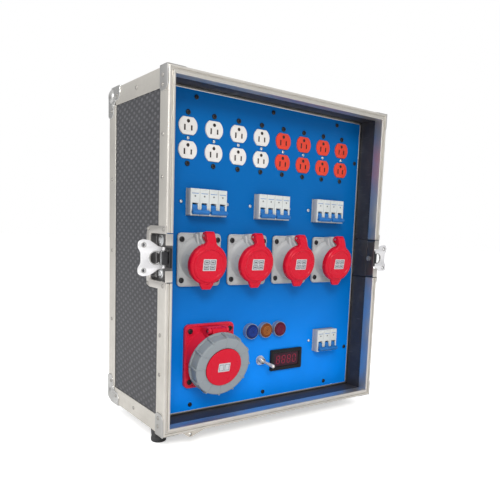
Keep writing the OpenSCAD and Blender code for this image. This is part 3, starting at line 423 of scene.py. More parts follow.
def rectangle(w, h, radius, x=0.0, y=0.0):
    return rounded([(x + u * w / 2, y + v * h / 2) for u, v in SIGNS], radius)


def symmetric(half):
    """Half an outline, then its mirror image with Y turned round, traced back to the start."""
    return half + [(x, -y, *radius) for x, y, *radius in half[::-1]]


def circle(radius, x=0.0, y=0.0, count=40):
    return [(x + radius * math.cos(2 * math.pi * k / count),
             y + radius * math.sin(2 * math.pi * k / count)) for k in range(count)]


def circle_ring(radius, z, count=24):
    return [(x, y, z) for x, y in circle(radius, count=count)]


def inset(outline, distance):
    """Outline moved inwards by a distance that is small beside its features."""
    area = sum(a[0] * b[1] - b[0] * a[1] for a, b in zip(outline, outline[1:] + outline[:1]))
    sign = 1 if area > 0 else -1
    result = []
    for i, point in enumerate(outline):
        here = Vector(point)
        a = (here - Vector(outline[i - 1])).normalized()
        b = (Vector(outline[(i + 1) % len(outline)]) - here).normalized()
        normal_a, normal_b = Vector((-a.y, a.x)), Vector((-b.y, b.x))
        middle = (normal_a + normal_b).normalized()
        result.append(tuple(here + middle * sign * distance / max(0.5, middle.dot(normal_a))))
    return result


def place_object(name, data):
    obj = bpy.data.objects.new(name, data)
    bpy.context.scene.collection.objects.link(obj)
    return obj


class Build:
    """One visible piece in the making, in millimetres."""

    def __init__(self, look):
        self.bm = bmesh.new()
        self.looks = []
        self.place = Matrix.Identity(4)
        self.use(look)

    def use(self, look):
        """The look that the next faces get."""
        if look not in self.looks:
            self.looks.append(look)
        self.index = self.looks.index(look)
        return self

    def at(self, place, x=0, y=0, z=0):
        """Where the next shapes go."""
        self.place = place @ move(x, y, z)
        return self

    def face(self, verts):
        made = self.bm.faces.new(verts)
        made.material_index = self.index

    def ring(self, points):
        return [self.bm.verts.new(self.place @ Vector(p)) for p in points]

    def bridge(self, a, b):
        """Faces between two rings of equal length, or between a ring and a single point."""
        for k in range(max(len(a), len(b))):
            pairs = ((a, k), (a, k + 1), (b, k + 1), (b, k))
            corners = dict.fromkeys(ring[i % len(ring)] for ring, i in pairs)
            if len(corners) > 2:
                self.face(tuple(corners))

    def loft(self, sections, closed=False):
        """Skin over a list of point rings, capped at both ends unless the list closes on itself."""
        rings = [self.ring(points) for points in sections]
        for a, b in zip(rings, rings[1:]):
            self.bridge(a, b)
        if closed:
            self.bridge(rings[-1], rings[0])
            return self
        for end in (rings[0], rings[-1]):
            if len(end) > 2:
                self.face(end)
        return self

    def lathe(self, profile, count=48, closed=False):
        """Turns (radius, z) points around Z; a profile that isn't closed starts and ends on the axis."""
        return self.loft([circle_ring(r, z, count) if r else [(0, 0, z)] for r, z in profile],
                         closed)

    def sweep(self, path, profile):
        """Moves a closed (offset, z) profile along an open path; offsets go to the path's left."""
        sections = []
        for i, here in enumerate(path):
            back = Vector(here) - Vector(path[max(0, i - 1)])
            ahead = Vector(path[min(len(path) - 1, i + 1)]) - Vector(here)
            along = (back.normalized() + ahead.normalized()).normalized()
            spread = 1 / max(0.5, along.dot((ahead if ahead.length else back).normalized()))
            sections.append([(here[0] - along.y * offset * spread,
                              here[1] + along.x * offset * spread, z) for offset, z in profile])
        return self.loft(sections)

    def slab(self, outline, z0, z1, soft=0.5, base=0.0):
        """Solid over an outline, its top edge rounded by soft and its bottom edge by base."""
        quarter = [math.pi / 2 * k / 3 for k in range(4)]
        levels = [(base * (1 - math.sin(a)), z0 + base * (1 - math.cos(a)))
                  for a in (quarter if base else quarter[-1:])]
        levels += [(soft * (1 - math.cos(a)), z1 - soft * (1 - math.sin(a)))
                   for a in (quarter if soft else quarter[:1])]
        return self.loft([[(x, y, z) for x, y in (inset(outline, depth) if depth else outline)]
                          for depth, z in levels])

    def band(self, outline, section):
        """Closed (depth, z) section led round an outline, depth counted inwards."""
        return self.loft([[(x, y, z) for x, y in inset(outline, depth)] for depth, z in section],
                         closed=True)

    def beam(self, outline, width, soft=0.5):
        """An outline in Y and Z, made solid along X, centred, with soft ends."""
        kept = self.place
        self.place = kept @ CYCLE
        self.slab(outline, -width / 2, width / 2, soft, soft)
        self.place = kept
        return self

    def shaft(self, radius, width, y=0.0, z=0.0, soft=0.4, count=32):
        """A round bar along X, centred."""
        return self.beam(circle(radius, y, z, count), width, soft)

    def plate(self, outlines, z0, z1, soft=0.3):
        """Flat plate whose first outline is its edge and whose other outlines are holes."""
        curve = bpy.data.curves.new("outline", "CURVE")
        curve.dimensions = "2D"
        curve.fill_mode = "BOTH"
        curve.extrude = (z1 - z0) / 2 - soft
        curve.bevel_depth = soft
        curve.bevel_resolution = 1
        curve.offset = -soft
        for outline in outlines:
            spline = curve.splines.new("POLY")
            spline.points.add(len(outline) - 1)
            for point, (x, y) in zip(spline.points, outline):
                point.co = (x, y, 0, 1)
            spline.use_cyclic_u = True
        holder = place_object("outline", curve)
        mesh = bpy.data.meshes.new_from_object(
            holder.evaluated_get(bpy.context.evaluated_depsgraph_get()))
        mesh.transform(self.place @ move(0, 0, (z0 + z1) / 2))
        made = len(self.bm.verts), len(self.bm.faces)
        self.bm.from_mesh(mesh)
        self.bm.verts.ensure_lookup_table()
        self.bm.faces.ensure_lookup_table()
        for face in self.bm.faces[made[1]:]:
            face.material_index = self.index
        bmesh.ops.remove_doubles(self.bm, verts=self.bm.verts[made[0]:], dist=0.002)
        bpy.data.objects.remove(holder)
        bpy.data.curves.remove(curve)
        bpy.data.meshes.remove(mesh)
        return self

    def finish(self, name, body, nodes=(), slot=None, crease=38):
        """Turns the shapes into one object that rides on a CAD body."""
        bm = self.bm
        bmesh.ops.scale(bm, vec=(MM, MM, MM), verts=bm.verts)
        bmesh.ops.recalc_face_normals(bm, faces=bm.faces)
        for face in bm.faces:
            face.smooth = True
        limit = math.radians(crease)
        for edge in bm.edges:
            edge.smooth = len(edge.link_faces) == 2 and edge.calc_face_angle(0) < limit
        mesh = bpy.data.meshes.new(name)
        bm.to_mesh(mesh)
        bm.free()
        for look in self.looks:
            mesh.materials.append(LOOKS[look])
        obj = place_object(name, mesh)
        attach(obj, body)
        if nodes:
            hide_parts(*nodes)


def solids(name):
    """(low, high) corners of each separate solid in a CAD node, in millimetres."""
    bm = bmesh.new()
    bm.from_mesh(NODES[name].data)
    bmesh.ops.remove_doubles(bm, verts=bm.verts, dist=1e-6)
    left, boxes = set(bm.verts), []
    for seed in bm.verts:
        if seed not in left:
            continue
        left.discard(seed)
        group, queue = [seed], [seed]
        while queue:
            for edge in queue.pop().link_edges:
                for vert in edge.verts:
                    if vert in left:
                        left.discard(vert)
                        group.append(vert)
                        queue.append(vert)
        low = Vector(min(v.co[i] for v in group) / MM for i in range(3))
        high = Vector(max(v.co[i] for v in group) / MM for i in range(3))
        boxes.append((low, high))
    bm.free()
    return boxes


def heads(name, thickness):
    """Places under the heads of the rivets or screws in a CAD node, Z pointing out of the case."""
    places = []
    for low, high in solids(name):
        size, middle = high - low, (low + high) / 2
        axis = max(range(3), key=lambda i: size[i])
        out = -1 if middle[axis] < (0, 0, MID_Z)[axis] else 1
        point = middle.copy()
        point[axis] = (high if out > 0 else low)[axis] - out * thickness
        direction = Vector((0, 0, 0))
        direction[axis] = out
        turn = direction.to_track_quat("Z", "Y").to_matrix().to_4x4()
        places.append(Matrix.Translation(point) @ turn)
    return places


# ---- Case ------------------------

ALU_T = 1.5
WALL = 12.0
PROFILE_LEG = 29.0
EDGE_LEG = 31.0
NOTCH = 39.5
MIRRORS = {"left": Matrix.Identity(4), "right": flipped(-1)}


def on_left(y, z):
    """Left face seen from outside: X towards the front, Y up, Z out of the case."""
    return move(-HALF_W, y, MID_Z + z) @ Matrix(
        ((0, 0, -1, 0), (-1, 0, 0, 0), (0, 1, 0, 0), (0, 0, 0, 1)))


def build_profile():
    """Four mitred lengths of the front profile: two round-backed ribs beside a seal groove."""
    section = rounded([
        (0, PROFILE_LEG, 0.3), (0, 0.2, 1.9), (4.0, 0, 0.9), (4.3, 2.6, 0.4), (7.1, 2.6, 0.4),
        (7.5, 0, 1.0), (WALL, 0, 1.3), (WALL, 21, 0.4), (WALL - 1.5, 21, 0.4),
        (WALL - 1.5, 4, 0.6), (ALU_T, 4, 0.6), (ALU_T, PROFILE_LEG, 0.3)], 0.3, 4)
    b = Build("alu_z")
    joint = 0.12
    for side in (-1, 1):
        for end in (-1, 1):
            b.use("alu_z").loft([
                [(side * (HALF_W - u), FRONT_Y + v, MID_Z + end * (HALF_H - u - joint))
                 for u, v in section],
                [(side * (HALF_W - u), FRONT_Y + v, MID_Z + end * NOTCH) for u, v in section]])
        b.use("alu_x").loft([
            [(s * (HALF_W - u - joint), FRONT_Y + v, MID_Z + side * (HALF_H - u))
             for u, v in section] for s in (-1, 1)])
    b.finish("profile", "case", ["front_profile"], "aluminium")


def angle_section():
    """L-section with a rounded heel; the two legs run towards negative values."""
    leg, t = EDGE_LEG, ALU_T
    return rounded([(0, 0, 2.0), (-leg, 0, 0.6), (-leg, -t, 0.4), (-t, -t, 0.8),
                    (-t, -leg, 0.4), (0, -leg, 0.6)], 0.5, 4)


def build_edges():
    """The angles along the case's rear and side edges."""
    section = angle_section()
    front, back = FRONT_Y + PROFILE_LEG + 0.3, BACK_Y - 26
    b = Build("alu_y")
    for sx in (-1, 1):
        for sz in (-1, 1):
            b.use("alu_y").loft([[(sx * (HALF_W + u), y, MID_Z + sz * (HALF_H + v))
                                  for u, v in section] for y in (front, back)])
        b.use("alu_z").loft([[(sx * (HALF_W + u), BACK_Y + v, MID_Z + s * (HALF_H - 26))
                              for u, v in section] for s in (-1, 1)])
    for sz in (-1, 1):
        b.use("alu_x").loft([[(s * (HALF_W - 26), BACK_Y + u, MID_Z + sz * (HALF_H + v))
                              for u, v in section] for s in (-1, 1)])
    b.finish("edges", "case", ["edge_angles"], "aluminium")


def build_braces():
    """Bent plates over the front corners, rounded where they end."""
    b = Build("brace_steel")
    leg, width = 37.0, PROFILE_LEG - 1
    low = -FRONT_Y - 1 - width
    side = rounded([(low, ALU_T, 0.4), (low, -leg, 7), (low + width, -leg, 12),
                    (low + width, ALU_T, 0.4)], 1)
    for mirror in MIRRORS.values():
        for flip in (1, -1):
            b.at(mirror @ on_left(0, 0) @ flipped(y=flip), y=HALF_H).slab(side, 0.02, ALU_T, 0.5)
            cap = mirror @ move(z=MID_Z) @ flipped(z=flip) @ move(-HALF_W, 0, HALF_H)
            b.at(cap @ rot_z(-90)).slab([(x, -y) for x, y in side], 0.02, 0.7, 0.3)
    b.finish("braces", "case", ["corner_braces"], "steel")


def ball_corner_mesh():
    """One pressed corner for the negative octant: three leaves growing out of a ball."""
    b = Build("ball_steel")
    t, centre, radius = ALU_T, -14.0, 20
    half_leaf = [(-50, t, 5), (-53, -14, 7), (-45, -23, 6), (-34, -24, 7)]
    leaf = rounded([(-14, t, 0)] + half_leaf + [(-27.5, -27.5, 6)]
                   + [(y, x, r) for x, y, r in half_leaf[::-1]] + [(t, -14, 0), (-14, -14, 0)], 0)
    for face in (Matrix.Identity(4), CYCLE, CYCLE @ CYCLE):
        b.at(face).slab(leaf, -1.2, t, 0.6)
        for turn in (-32, -16, 16, 32):
            place = face @ move(centre, centre) @ rot_z(225 + turn)
            b.at(place).slab(rounded([(11, -0.9), (22, -0.7), (22, 0.7), (11, 0.9)], 0.6),
                             0, t + 0.9, 0.5)
    half = [(radius * math.sin(a), radius * -math.cos(a))
            for a in (math.pi * k / 24 for k in range(25))]
    b.at(move(centre, centre, centre)).lathe(half, 40)
    return b


def build_ball_corners():
    """Corners at the four rear vertices, their parts melted together like one pressing."""
    ball = ball_corner_mesh()
    bmesh.ops.recalc_face_normals(ball.bm, faces=ball.bm.faces)
    mesh = bpy.data.meshes.new("ball_source")
    ball.bm.to_mesh(mesh)
    ball.bm.free()
    source = place_object("ball_source", mesh)
    melt = source.modifiers.new("melt", "REMESH")
    melt.mode = "VOXEL"
    melt.voxel_size = 0.75
    soften = source.modifiers.new("soften", "SMOOTH")
    soften.factor = 0.5
    soften.iterations = 3
    melted = bpy.data.meshes.new_from_object(
        source.evaluated_get(bpy.context.evaluated_depsgraph_get()))
    b = Build("ball_steel")
    for mirror in MIRRORS.values():
        for flip in (1, -1):
            place = mirror @ move(z=MID_Z) @ flipped(-1, 1, flip) @ move(HALF_W, BACK_Y, HALF_H)
            made = len(b.bm.verts)
            b.bm.from_mesh(melted)
            b.bm.verts.ensure_lookup_table()
            bmesh.ops.transform(b.bm, matrix=place, verts=b.bm.verts[made:])
    bpy.data.objects.remove(source)
    bpy.data.meshes.remove(mesh)
    bpy.data.meshes.remove(melted)
    b.finish("ball_corner_shells", "case", ["ball_corners"], "steel", crease=60)


def build_rivets():
    """Domed blind rivets with the mandrel's small pit."""
    b = Build("rivet_alu")
    dome = [(0, 0.55), (0.75, 0.6), (0.95, 1.25), (1.6, 1.42), (2.6, 1.1), (3.3, 0.55), (3.5, 0.0),
            (1.55, 0.0), (1.55, -6), (0, -6)]
    for place in heads("case_rivets", 1.4):
        b.at(place).lathe(dome, 20)
    b.finish("rivets", "case", ["case_rivets"], "steel")


def build_feet():
    """Turned rubber feet: a slightly waisted cone with a rounded sole around its screw."""
    b = Build("rubber")
    for low, high in solids("rubber_feet"):
        radius = (high.x - low.x) / 2
        tall = high.z
        side = rounded([(6.2, 0.0), (radius - 1.2, 0.0, 2.4), (radius - 0.9, 7, 2),
                        (radius - 1.8, 9.2, 1), (radius - 0.6, tall - 3, 1), (radius, tall, 0.6),
                        (2.4, tall), (2.4, 12, 0.3), (6.2, 12, 0.3)], 0, 4)
        b.at(move((low.x + high.x) / 2, (low.y + high.y) / 2)).lathe(side, 40, closed=True)
    b.finish("feet", "case", ["rubber_feet"], "rubber")


def build_eye():
    """Small pressed strap eye under the front edge."""
    low, high = node_box("tie_down_eye")
    b = Build("eye_steel")
    width, drop = high[0] - low[0], low[2] - FOOT_H + 0.2
    blade = rounded([(0, 0, 0.6), (0, -1.5, 1), (11, drop, 4), (17, drop, 5),
                     (width, -1.5, 1), (width, 0, 0.6)], 1)
    place = move(low[0], low[1] + 2.0, FOOT_H) @ rot_x(90)
    b.at(place).plate([blade, circle(2.4, 14, -5.5, 24)], 0.0, 2.0, 0.4)
    b.at(place, 14, -5.5).lathe(
        [(2.4, 0.1), (3.9, 0.1), (3.9, 2.2), (3.4, 2.6), (2.6, 2.6), (2.4, 2.2)], 24, True)
    tongue = rounded([(0, 0, 0.5), (width, 0, 0.5), (width, 20, 4), (0, 20, 4)], 1)
    b.at(move(low[0], low[1] + 2, FOOT_H - 1.5)).slab(tongue, 0, 1.48, 0.1, 0.5)
    b.finish("strap_eye", "case", ["tie_down_eye"], "steel")


# ---- Latches ------------------------

LATCH_Y = FRONT_Y + 14.5
DISH_HALF = 38.0
DISH_BACK = 59.5


def build_latch_dish(side, mirror):
    """Pressed tray let into the case edge: flat rim, sunken tub whose walls and floor are a much darker
    steel as painted shade, riveted washers.
    """
    b = Build("dish_steel").at(mirror @ on_left(0, 0))
    front, back, tall = -FRONT_Y, -FRONT_Y - DISH_BACK, 50.0
    rim = rounded(symmetric([(back - 11.5, -tall, 15), (front - 0.2, -tall, 2),
                             (front - 0.2, -DISH_HALF, 1), (back, -DISH_HALF, 7)]), 1)
    b.slab(rim, 0.03, 1.2, 0.5)
    path = rounded(symmetric([(front - 0.3, DISH_HALF), (back, DISH_HALF)]), 8, 8, closed=False)
    b.sweep(path, [(-0.9, 1.25), (0, 1.1), (0.5, 0.2), (0.6, -1.5), (-0.7, -1.5), (-0.9, 0.2)])
    # painted shade: the tub's walls and floor in a darker steel
    b.use("tub_steel").sweep(path, [(0.6, -1.4), (0.9, -6), (1.6, -9.4), (3.4, -10.6),
                                    (3.4, -11.6), (0.6, -11.2), (-0.3, -9.6), (-0.7, -1.4)])
    floor = rounded([(front - 1.3, -35.6, 1), (front - 1.3, 35.6, 1), (back + 2.4, 35.6, 6),
                     (back + 2.4, -35.6, 6)], 1)
    b.use("tub_steel").plate([floor, circle(3.1, -LATCH_Y, 0, 24)], -11.8, -10.8, 0.15)
    behind = rounded(symmetric([(back - 0.8, -38.6, 6), (front - 22, -38.6, 0.5)]), 1)
    b.use("laminate_side").slab(behind, -12.4, -11.7, 0.1, 0.2)
    for s in (-1, 1):
        b.use("chrome").at(mirror @ on_left(0, 0), back + 17, s * 27, -10.8).lathe(
            [(0, 1.0), (2.0, 1.1), (2.2, 2.0), (4.0, 2.3), (5.6, 1.6), (6.2, 0.4), (9.5, 0.3),
             (10, 0), (0, 0)], 28)
        b.use("dish_steel").at(mirror @ on_left(0, 0)).slab(
            rectangle(1.4, 18, 0.5, front - 0.9, s * (DISH_HALF - 9)), -11.4, 0.6, 0.5)
    b.finish("latch_tray_" + side, "case",
             ["latch_dishes"] if side == "left" else (), "steel")


def build_latch_hub(side, mirror):
    """Turning boss with its jaws, the eccentric cam below it and the wing's hinge pin."""
    b = Build("latch_black")
    centre = mirror @ on_left(LATCH_Y, 0)
    boss = [(0, -0.9), (5.2, -0.9), (5.6, -1.3), (8.6, -1.6), (9.4, -2.4), (9.4, -7.6), (0, -7.6)]
    b.at(centre).lathe(boss, 40)
    b.use("chrome").at(centre, -4.0).lathe(
        [(0, -7.7), (7.9, -7.7), (8, -8), (8, -10.5), (0, -10.5)], 40)
    b.at(centre).lathe([(0, -10.5), (3, -10.5), (3, -12.2), (5.4, -12.2), (5.4, -13.9),
                        (0, -13.9)], 28)
    b.at(centre @ move(0, 0, -3) @ rot_z(90)).shaft(1.48, 33.8)
    b.at(centre).slab(rectangle(3.6, 9.0, 0.6, -6.2, 0), -4.5, -0.95, 0.5)
    b.slab(rectangle(1.5, 21.2, 0.5, 2.0, 0), -5.6, 3.3, 0.5)
    b.use("latch_black").slab(rectangle(6.4, 20.6, 1.4, 5.9, 0), -5.9, 2.6, 0.8)
    for s in (-1, 1):
        b.use("chrome").at(centre, z=-3).slab(
            rectangle(7.0, 3.4, 0.8, 0, s * 8.4), -2.2, 2.6, 0.6)
    b.finish("latch_boss_" + side, "latch_hub_" + side, ["latch_hub_" + side], "steel")


def build_latch_wing(side, mirror):
    """Butterfly grip: two eyed lobes, a round window and rolled hinge eyes."""
    b = Build("wing_steel")
    centre = mirror @ on_left(LATCH_Y, 0) @ move(0, 0, -3) @ rot_y(-90)
    reach, lobe = 43.0, 19.8
    half = [(1.0, 11.3, 0.8), (1.0, 16.8, 0.8), (10, 18.5, 5), (24, 27.2, 9), (35.5, 28.6, 8.2),
            (reach, 25, 6), (43.2, 16, 7), (38.5, 8, 12)]
    window = [(14.5 + 9.2 * math.cos(a), 9.2 * math.sin(a))
              for a in (math.radians(-130 + 6.5 * k) for k in range(41))]
    body = symmetric(half) + [(7, -11, 0.5)] + [(x, y, 0) for x, y in window] + [(7, 11, 0.5)]
    holes = [circle(2.7, 34, s * lobe, 24) for s in (-1, 1)]
    b.at(centre).plate([rounded(body, 1, 6)] + holes, -1.25, 1.25, 0.4)
    b.use("brace_steel").sweep(window, [
        (-0.1, -1.6), (-0.1, 1.6), (-0.5, 2.0), (-1.7, 2.0), (-2.2, 1.5), (-2.2, -1.5),
        (-1.7, -2.0), (-0.5, -2.0)])
    for s in (-1, 1):
        b.use("brace_steel").at(centre, 34, s * lobe).lathe(
            [(2.72, -1.45), (4.4, -1.3), (4.4, 1.3), (2.72, 1.45)], 28, closed=True)
        b.use("wing_steel").at(centre @ move(0, s * 14, 0) @ rot_z(90)).beam(
            circle(2.75, count=24), 5.4, 0.4)
    b.finish("wing_" + side, "latch_wing_" + side, ["latch_wing_" + side], "steel")


def build_latch_hook(side, mirror):
    """Sliding hook plate with the cam's slot and a turned-up lip."""
    b = Build("latch_black")
    front = -FRONT_Y - 1.6
    plate = rounded(symmetric([(front - 33, -15.5, 3), (front, -15.5, 1)]), 1)
    slot = rectangle(18.2, 24.8, 2, -LATCH_Y - 4)
    b.at(mirror @ on_left(0, 0)).plate([plate, slot], -10.5, -8.0, 0.3)
    b.slab(rectangle(2.0, 31, 0.8, front - 1.0, 0), -9, -6.4, 0.6)
    b.finish("hook_" + side, "latch_hook_" + side, ["latch_hook_" + side], "steel")


# ---- Top handle ------------------------

GRIP_Y = 10.0


def build_handle():
    """Recessed tray on the lid and its rubber-covered bail."""
    b = Build("black")
    place = move(0, GRIP_Y, TOP_Z)
    rim, mouth = rectangle(160, 112, 12), rectangle(130, 84, 8)
    b.at(place).plate([rim, mouth], 0.02, 1.2, 0.45)
    wall = ((-1.4, 1.1), (-0.5, 1.35), (0, 1.0), (0, -12.5), (1.4, -14.5),
            (1.4, -15.5), (-1.0, -15.5), (-1.1, -12), (-1.2, -0.2))
    b.band(mouth, wall)
    b.slab(inset(mouth, 0.8), -15.6, -14.5, 0.2)
    pivot_y = GRIP_Y - 30
    for s in (-1, 1):
        ear = rounded([(-6, -14.6, 1), (6, -14.6, 1), (6, -4, 5), (-6, -4, 5)], 1)
        b.at(move(s * 61, pivot_y, TOP_Z)).beam(ear, 3.0, 0.5)
    b.finish("handle_tray", "case", ["handle_dish"], "black_plastic")

    g = Build("black_steel")
    height = TOP_Z - 6
    path = rounded([(-62.5, 0, 0), (-54, 0, 3), (-54, 56, 5), (54, 56, 5), (54, 0, 3),
                    (62.5, 0, 0)], 3, 6, closed=False)
    sections = []
    for i, (x, y) in enumerate(path):
        a = Vector(path[max(0, i - 1)])
        c = Vector(path[min(len(path) - 1, i + 1)])
        normal = Vector((-(c - a).y, (c - a).x)).normalized()
        radius = 2.9 if abs(x) > 57.5 else 3.9
        sections.append([(x + normal.x * radius * math.cos(t), y + normal.y * radius * math.cos(t),
                          radius * math.sin(t)) for t in
                         (2 * math.pi * k / 20 for k in range(20))])
    g.at(move(0, pivot_y, height)).loft(sections)
    grip = [(0, -46.5), (4.5, -46.5), (6.2, -45.5), (6.45, -44)]
    for k in range(-10, 11):
        grip += [(6.45, k * 4 - 1.5), (6.0, k * 4 - 1.0), (6.0, k * 4 + 1.0), (6.45, k * 4 + 1.5)]
    grip += [(6.45, 44), (6.2, 45.5), (4.5, 46.5), (0, 46.5)]
    g.use("rubber").at(move(0, pivot_y + 56, height) @ rot_y(90)).lathe(grip, 32)
    g.finish("handle_grip", "handle_bail", ["handle_bail"], "rubber")


# ---- Panel and screws ------------------------

def hexagon_ring(across, z, count=24):
    """A hexagon traced with as many points as the circles around it."""
    points = []
    for k in range(count):
        angle = 2 * math.pi * k / count
        reach = across / 2 / math.cos((angle + math.pi / 6) % (math.pi / 3) - math.pi / 6)
        points.append((reach * math.cos(angle), reach * math.sin(angle), z))
    return points


def button_screw(b, place, radius, shank=1.9, length=7.0):
    """Domed screw head with a hexagon socket."""
    levels = [(shank, -length), (shank, 0.0), (radius - 0.1, 0.0), (radius, 0.4),
              (radius, 0.9), (radius * 0.93, 1.5), (radius * 0.78, 2.1), (radius * 0.62, 2.42),
              (radius * 0.5, 2.5)]
    sections = [[(0, 0, -length)]] + [circle_ring(r, z) for r, z in levels]
    sections += [hexagon_ring(radius * 0.68, 2.42), hexagon_ring(radius * 0.66, 0.9),
                 [(0, 0, 0.7)]]
    b.at(place).loft(sections)


def build_panel_trim():
    """Thin aluminium bead closing the gap between the panel and the case's walls."""
    half_w, half_h = HALF_W - WALL - 0.15, HALF_H - WALL - 0.15
    b = Build("alu_z")
    opening = rectangle(2 * half_w, 2 * half_h, 0.5)
    section = ((0, -1.4), (0, 0.5), (0.3, 0.7), (3.0, 0.7), (3.3, 0.5), (3.3, -1.4))
    b.at(on_panel(0, 0)).band(opening, section)
    b.finish("panel_bead", "case", (), "aluminium")


def build_screws():
    """Black screws of the panel and the flanges, and the steel ones between them."""
    for name, slot, look in (("panel_screws", "black_steel", "black_steel"),
                             ("flange_screws", "black_steel", "black_steel"),
                             ("steel_screws", "steel", "bright_steel")):
        b = Build(look)
        boxes = solids(name)
        for (low, high), place in zip(boxes, heads(name, 2.6)):
            size = sorted(high - low)
            button_screw(b, place, size[0] / 2, length=min(7.0, size[2] - 3.0))
        b.finish(name + "_detail", "case", [name], slot)


# ---- Outlets ------------------------

FACE_W, FACE_H, FACE_PITCH = 34.4, 28.6, 39.0
GROUND_R = 2.9


def outlet_outline(grow=0.0, count=16):
    """Round face with a flat top and bottom."""
    radius, flat = FACE_W / 2 + grow, FACE_H / 2 + grow
    limit = math.asin(flat / radius)
    right = [(radius * math.cos(a), radius * math.sin(a)) for a in
             (-limit + 2 * limit * k / count for k in range(count + 1))]
    return right + [(-x, -y) for x, y in right]


def build_outlets(name, look, slot):
    """Duplex outlets: two raised faces whose dark slots and ground hole run into near-black blocks,
    painted shade inside the holes.
    """
    b = Build(look)
    for low, high in solids(name):
        place = on_panel((low.x + high.x) / 2, (low.z + high.z) / 2 - MID_Z)
        b.use(look).at(place).slab(rectangle(31.6, 69.6, 2), -31, -6.5, 0.5, 0.5)
        for s in (-0.5, 0.5):
            b.use(look).at(place, 0, s * FACE_PITCH)
            holes = [rounded([(x + u * w, -3 + v * h) for u, v in SIGNS], 0.3, 2)
                     for x, w, h in ((-6.4, 1.35, 4.8), (6.4, 1.35, 4.1))]
            holes.append(circle(GROUND_R, 0, 7.8, 24))
            b.plate([outlet_outline()] + holes, -6.4, 2.0, 0.55)
            b.slab(rectangle(8.4, 11.2, 0.8, 0, -3.0), 1.9, 2.5, 0.4)
            # painted shade: a near-black block seen through the slots and ground hole
            b.use("well").slab(rectangle(22, 24, 1), -6.45, 0.5, 0)
            for hole in holes:
                b.plate([hole, inset(hole, 0.22)], 0.4, 1.72, 0.05)
    b.finish(name + "_faces", "case", [name], slot)


# ---- Breakers ------------------------

POLE_W = 17.8
HANDLE_Y, HANDLE_OUT = -9.5, 10.0


def breaker_groups():
    """(panel X, panel Z, poles) of each breaker, in the order of their handles."""
    groups = []
    for low, high in solids("breaker_bodies"):
        poles = round((high.x - low.x) / POLE_W)
        groups.append(((low.x + high.x) / 2, (low.z + high.z) / 2 - MID_Z, poles))
    return sorted(groups, key=lambda g: (g[2], g[0]))


def pole_offsets(poles):
    return [(i - (poles - 1) / 2) * POLE_W for i in range(poles)]


def build_breakers():
    """Breaker bodies: a face with its handle slot, a stepped nose, marks, and flanks in a greyer copy of
    the cream as painted shade.
    """
    b = Build("cream")
    for x, z, poles in breaker_groups():
        width = poles * POLE_W - 0.2
        place = on_panel(x, z)
        # painted shade: sides and flanks in a greyer copy of the cream
        b.use("breaker_grey").at(place).slab(rectangle(width, 82, 1.5), -49, -7.2, 0.8, 0.8)
        b.slab(rectangle(width - 0.4, 44.6, 0.6), -7.5, 3.5, 0.1)
        for offset in pole_offsets(poles):
            pole = place @ move(offset)
            edge = rectangle(POLE_W - 0.35, 45, 0.9)
            hole = rectangle(10.6, 15.6, 1.2, 0, HANDLE_Y + 0.2)
            b.use("breaker_grey").at(pole).plate([edge, hole], 3.4, 14.2, 0.15)
            b.use("cream").plate([inset(edge, 0.05), hole], 14.15, 16.0, 0.5)
            b.slab(rectangle(POLE_W - 1.4, 6.4, 0.5, 0, 18.6), 15.6, 16.35, 0.3)
            b.use("black").slab(rectangle(10.8, 15.8, 1.0, 0, HANDLE_Y + 0.2), 3.4, 3.7, 0)
            b.at(pole, 0, 9.8, 15.9).lathe(
                [(0, 0), (1.45, 0), (1.45, 0.25), (0.9, 0.1), (0, 0.1)], 20)
            b.use("blue_plastic").at(pole).slab(
                rectangle(POLE_W - 5.0, 0.8, 0.2, 0, 14.4), 15.9, 16.15, 0.1)
            for s in (-1, 1):
                b.use("cream").at(pole, 0, s * 20.4, 15.4).slab(
                    rectangle(6.0, 1.3, 0.6), 0, 0.95, 0.25)
    b.finish("breaker_cases", "case", ["breaker_bodies"], "cream_plastic")


def build_breaker_handle(number, x, z, poles):
    """Tied handles: ribbed fingers on round drums, joined by one bar."""
    b = Build("blue_plastic")
    pivot = on_panel(x, z) @ move(0, HANDLE_Y, HANDLE_OUT)
    tilted = pivot @ rot_x(35)
    for offset in pole_offsets(poles):
        b.at(pivot, offset).shaft(6.45, 9.3, soft=0.5, count=40)
        finger = rounded([(-2.5, 4, 0), (2.5, 4, 0), (2.3, 12.4, 1.2), (-2.3, 12.4, 1.2)], 0)
        b.at(tilted, offset).beam(finger, 9.2, 0.6)
        for k in range(4):
            b.at(tilted, offset, 2.3, 6.6 + k * 1.2).beam(
                circle(0.35, count=8), 8.0, 0.1)
        b.at(pivot, offset).shaft(1.45, POLE_W - 1.0)
    bar = rounded([(-3.4, 9.4, 1.3), (3.4, 9.4, 1.3), (3.4, 15.8, 1.6), (-3.4, 15.8, 1.6)], 1)
    b.at(tilted).beam(bar, poles * POLE_W - 3.2, 0.9)
    for offset in pole_offsets(poles):
        b.at(tilted, offset, 0, 15.7).slab(rectangle(7.0, 3.4, 0.6), -0.2, 0.35, 0.25)
    name = f"breaker_handle_{number}"
    b.finish(f"breaker_toggle_{number}", name, [name], "blue_plastic")


# ---- Sockets ------------------------

SOCKET_TILT = 9.0
SOCKET_PIN = (47.3, 25.6)
LUG_W, BARREL_W = 17.0, 9.4


def arc(cy, cz, radius, start, end, steps=10):
    """Points round a centre, angles in degrees."""
    return [(cy + radius * math.cos(math.radians(start + (end - start) * k / steps)),
             cz + radius * math.sin(math.radians(start + (end - start) * k / steps)))
            for k in range(steps + 1)]


def socket_places():
    """(number, panel X, panel Z) of each socket."""
    level = centre_of("socket_gaskets")[1]
    return [(n, centre_of(f"socket_lid_{n}")[0], level) for n in range(1, 5)]


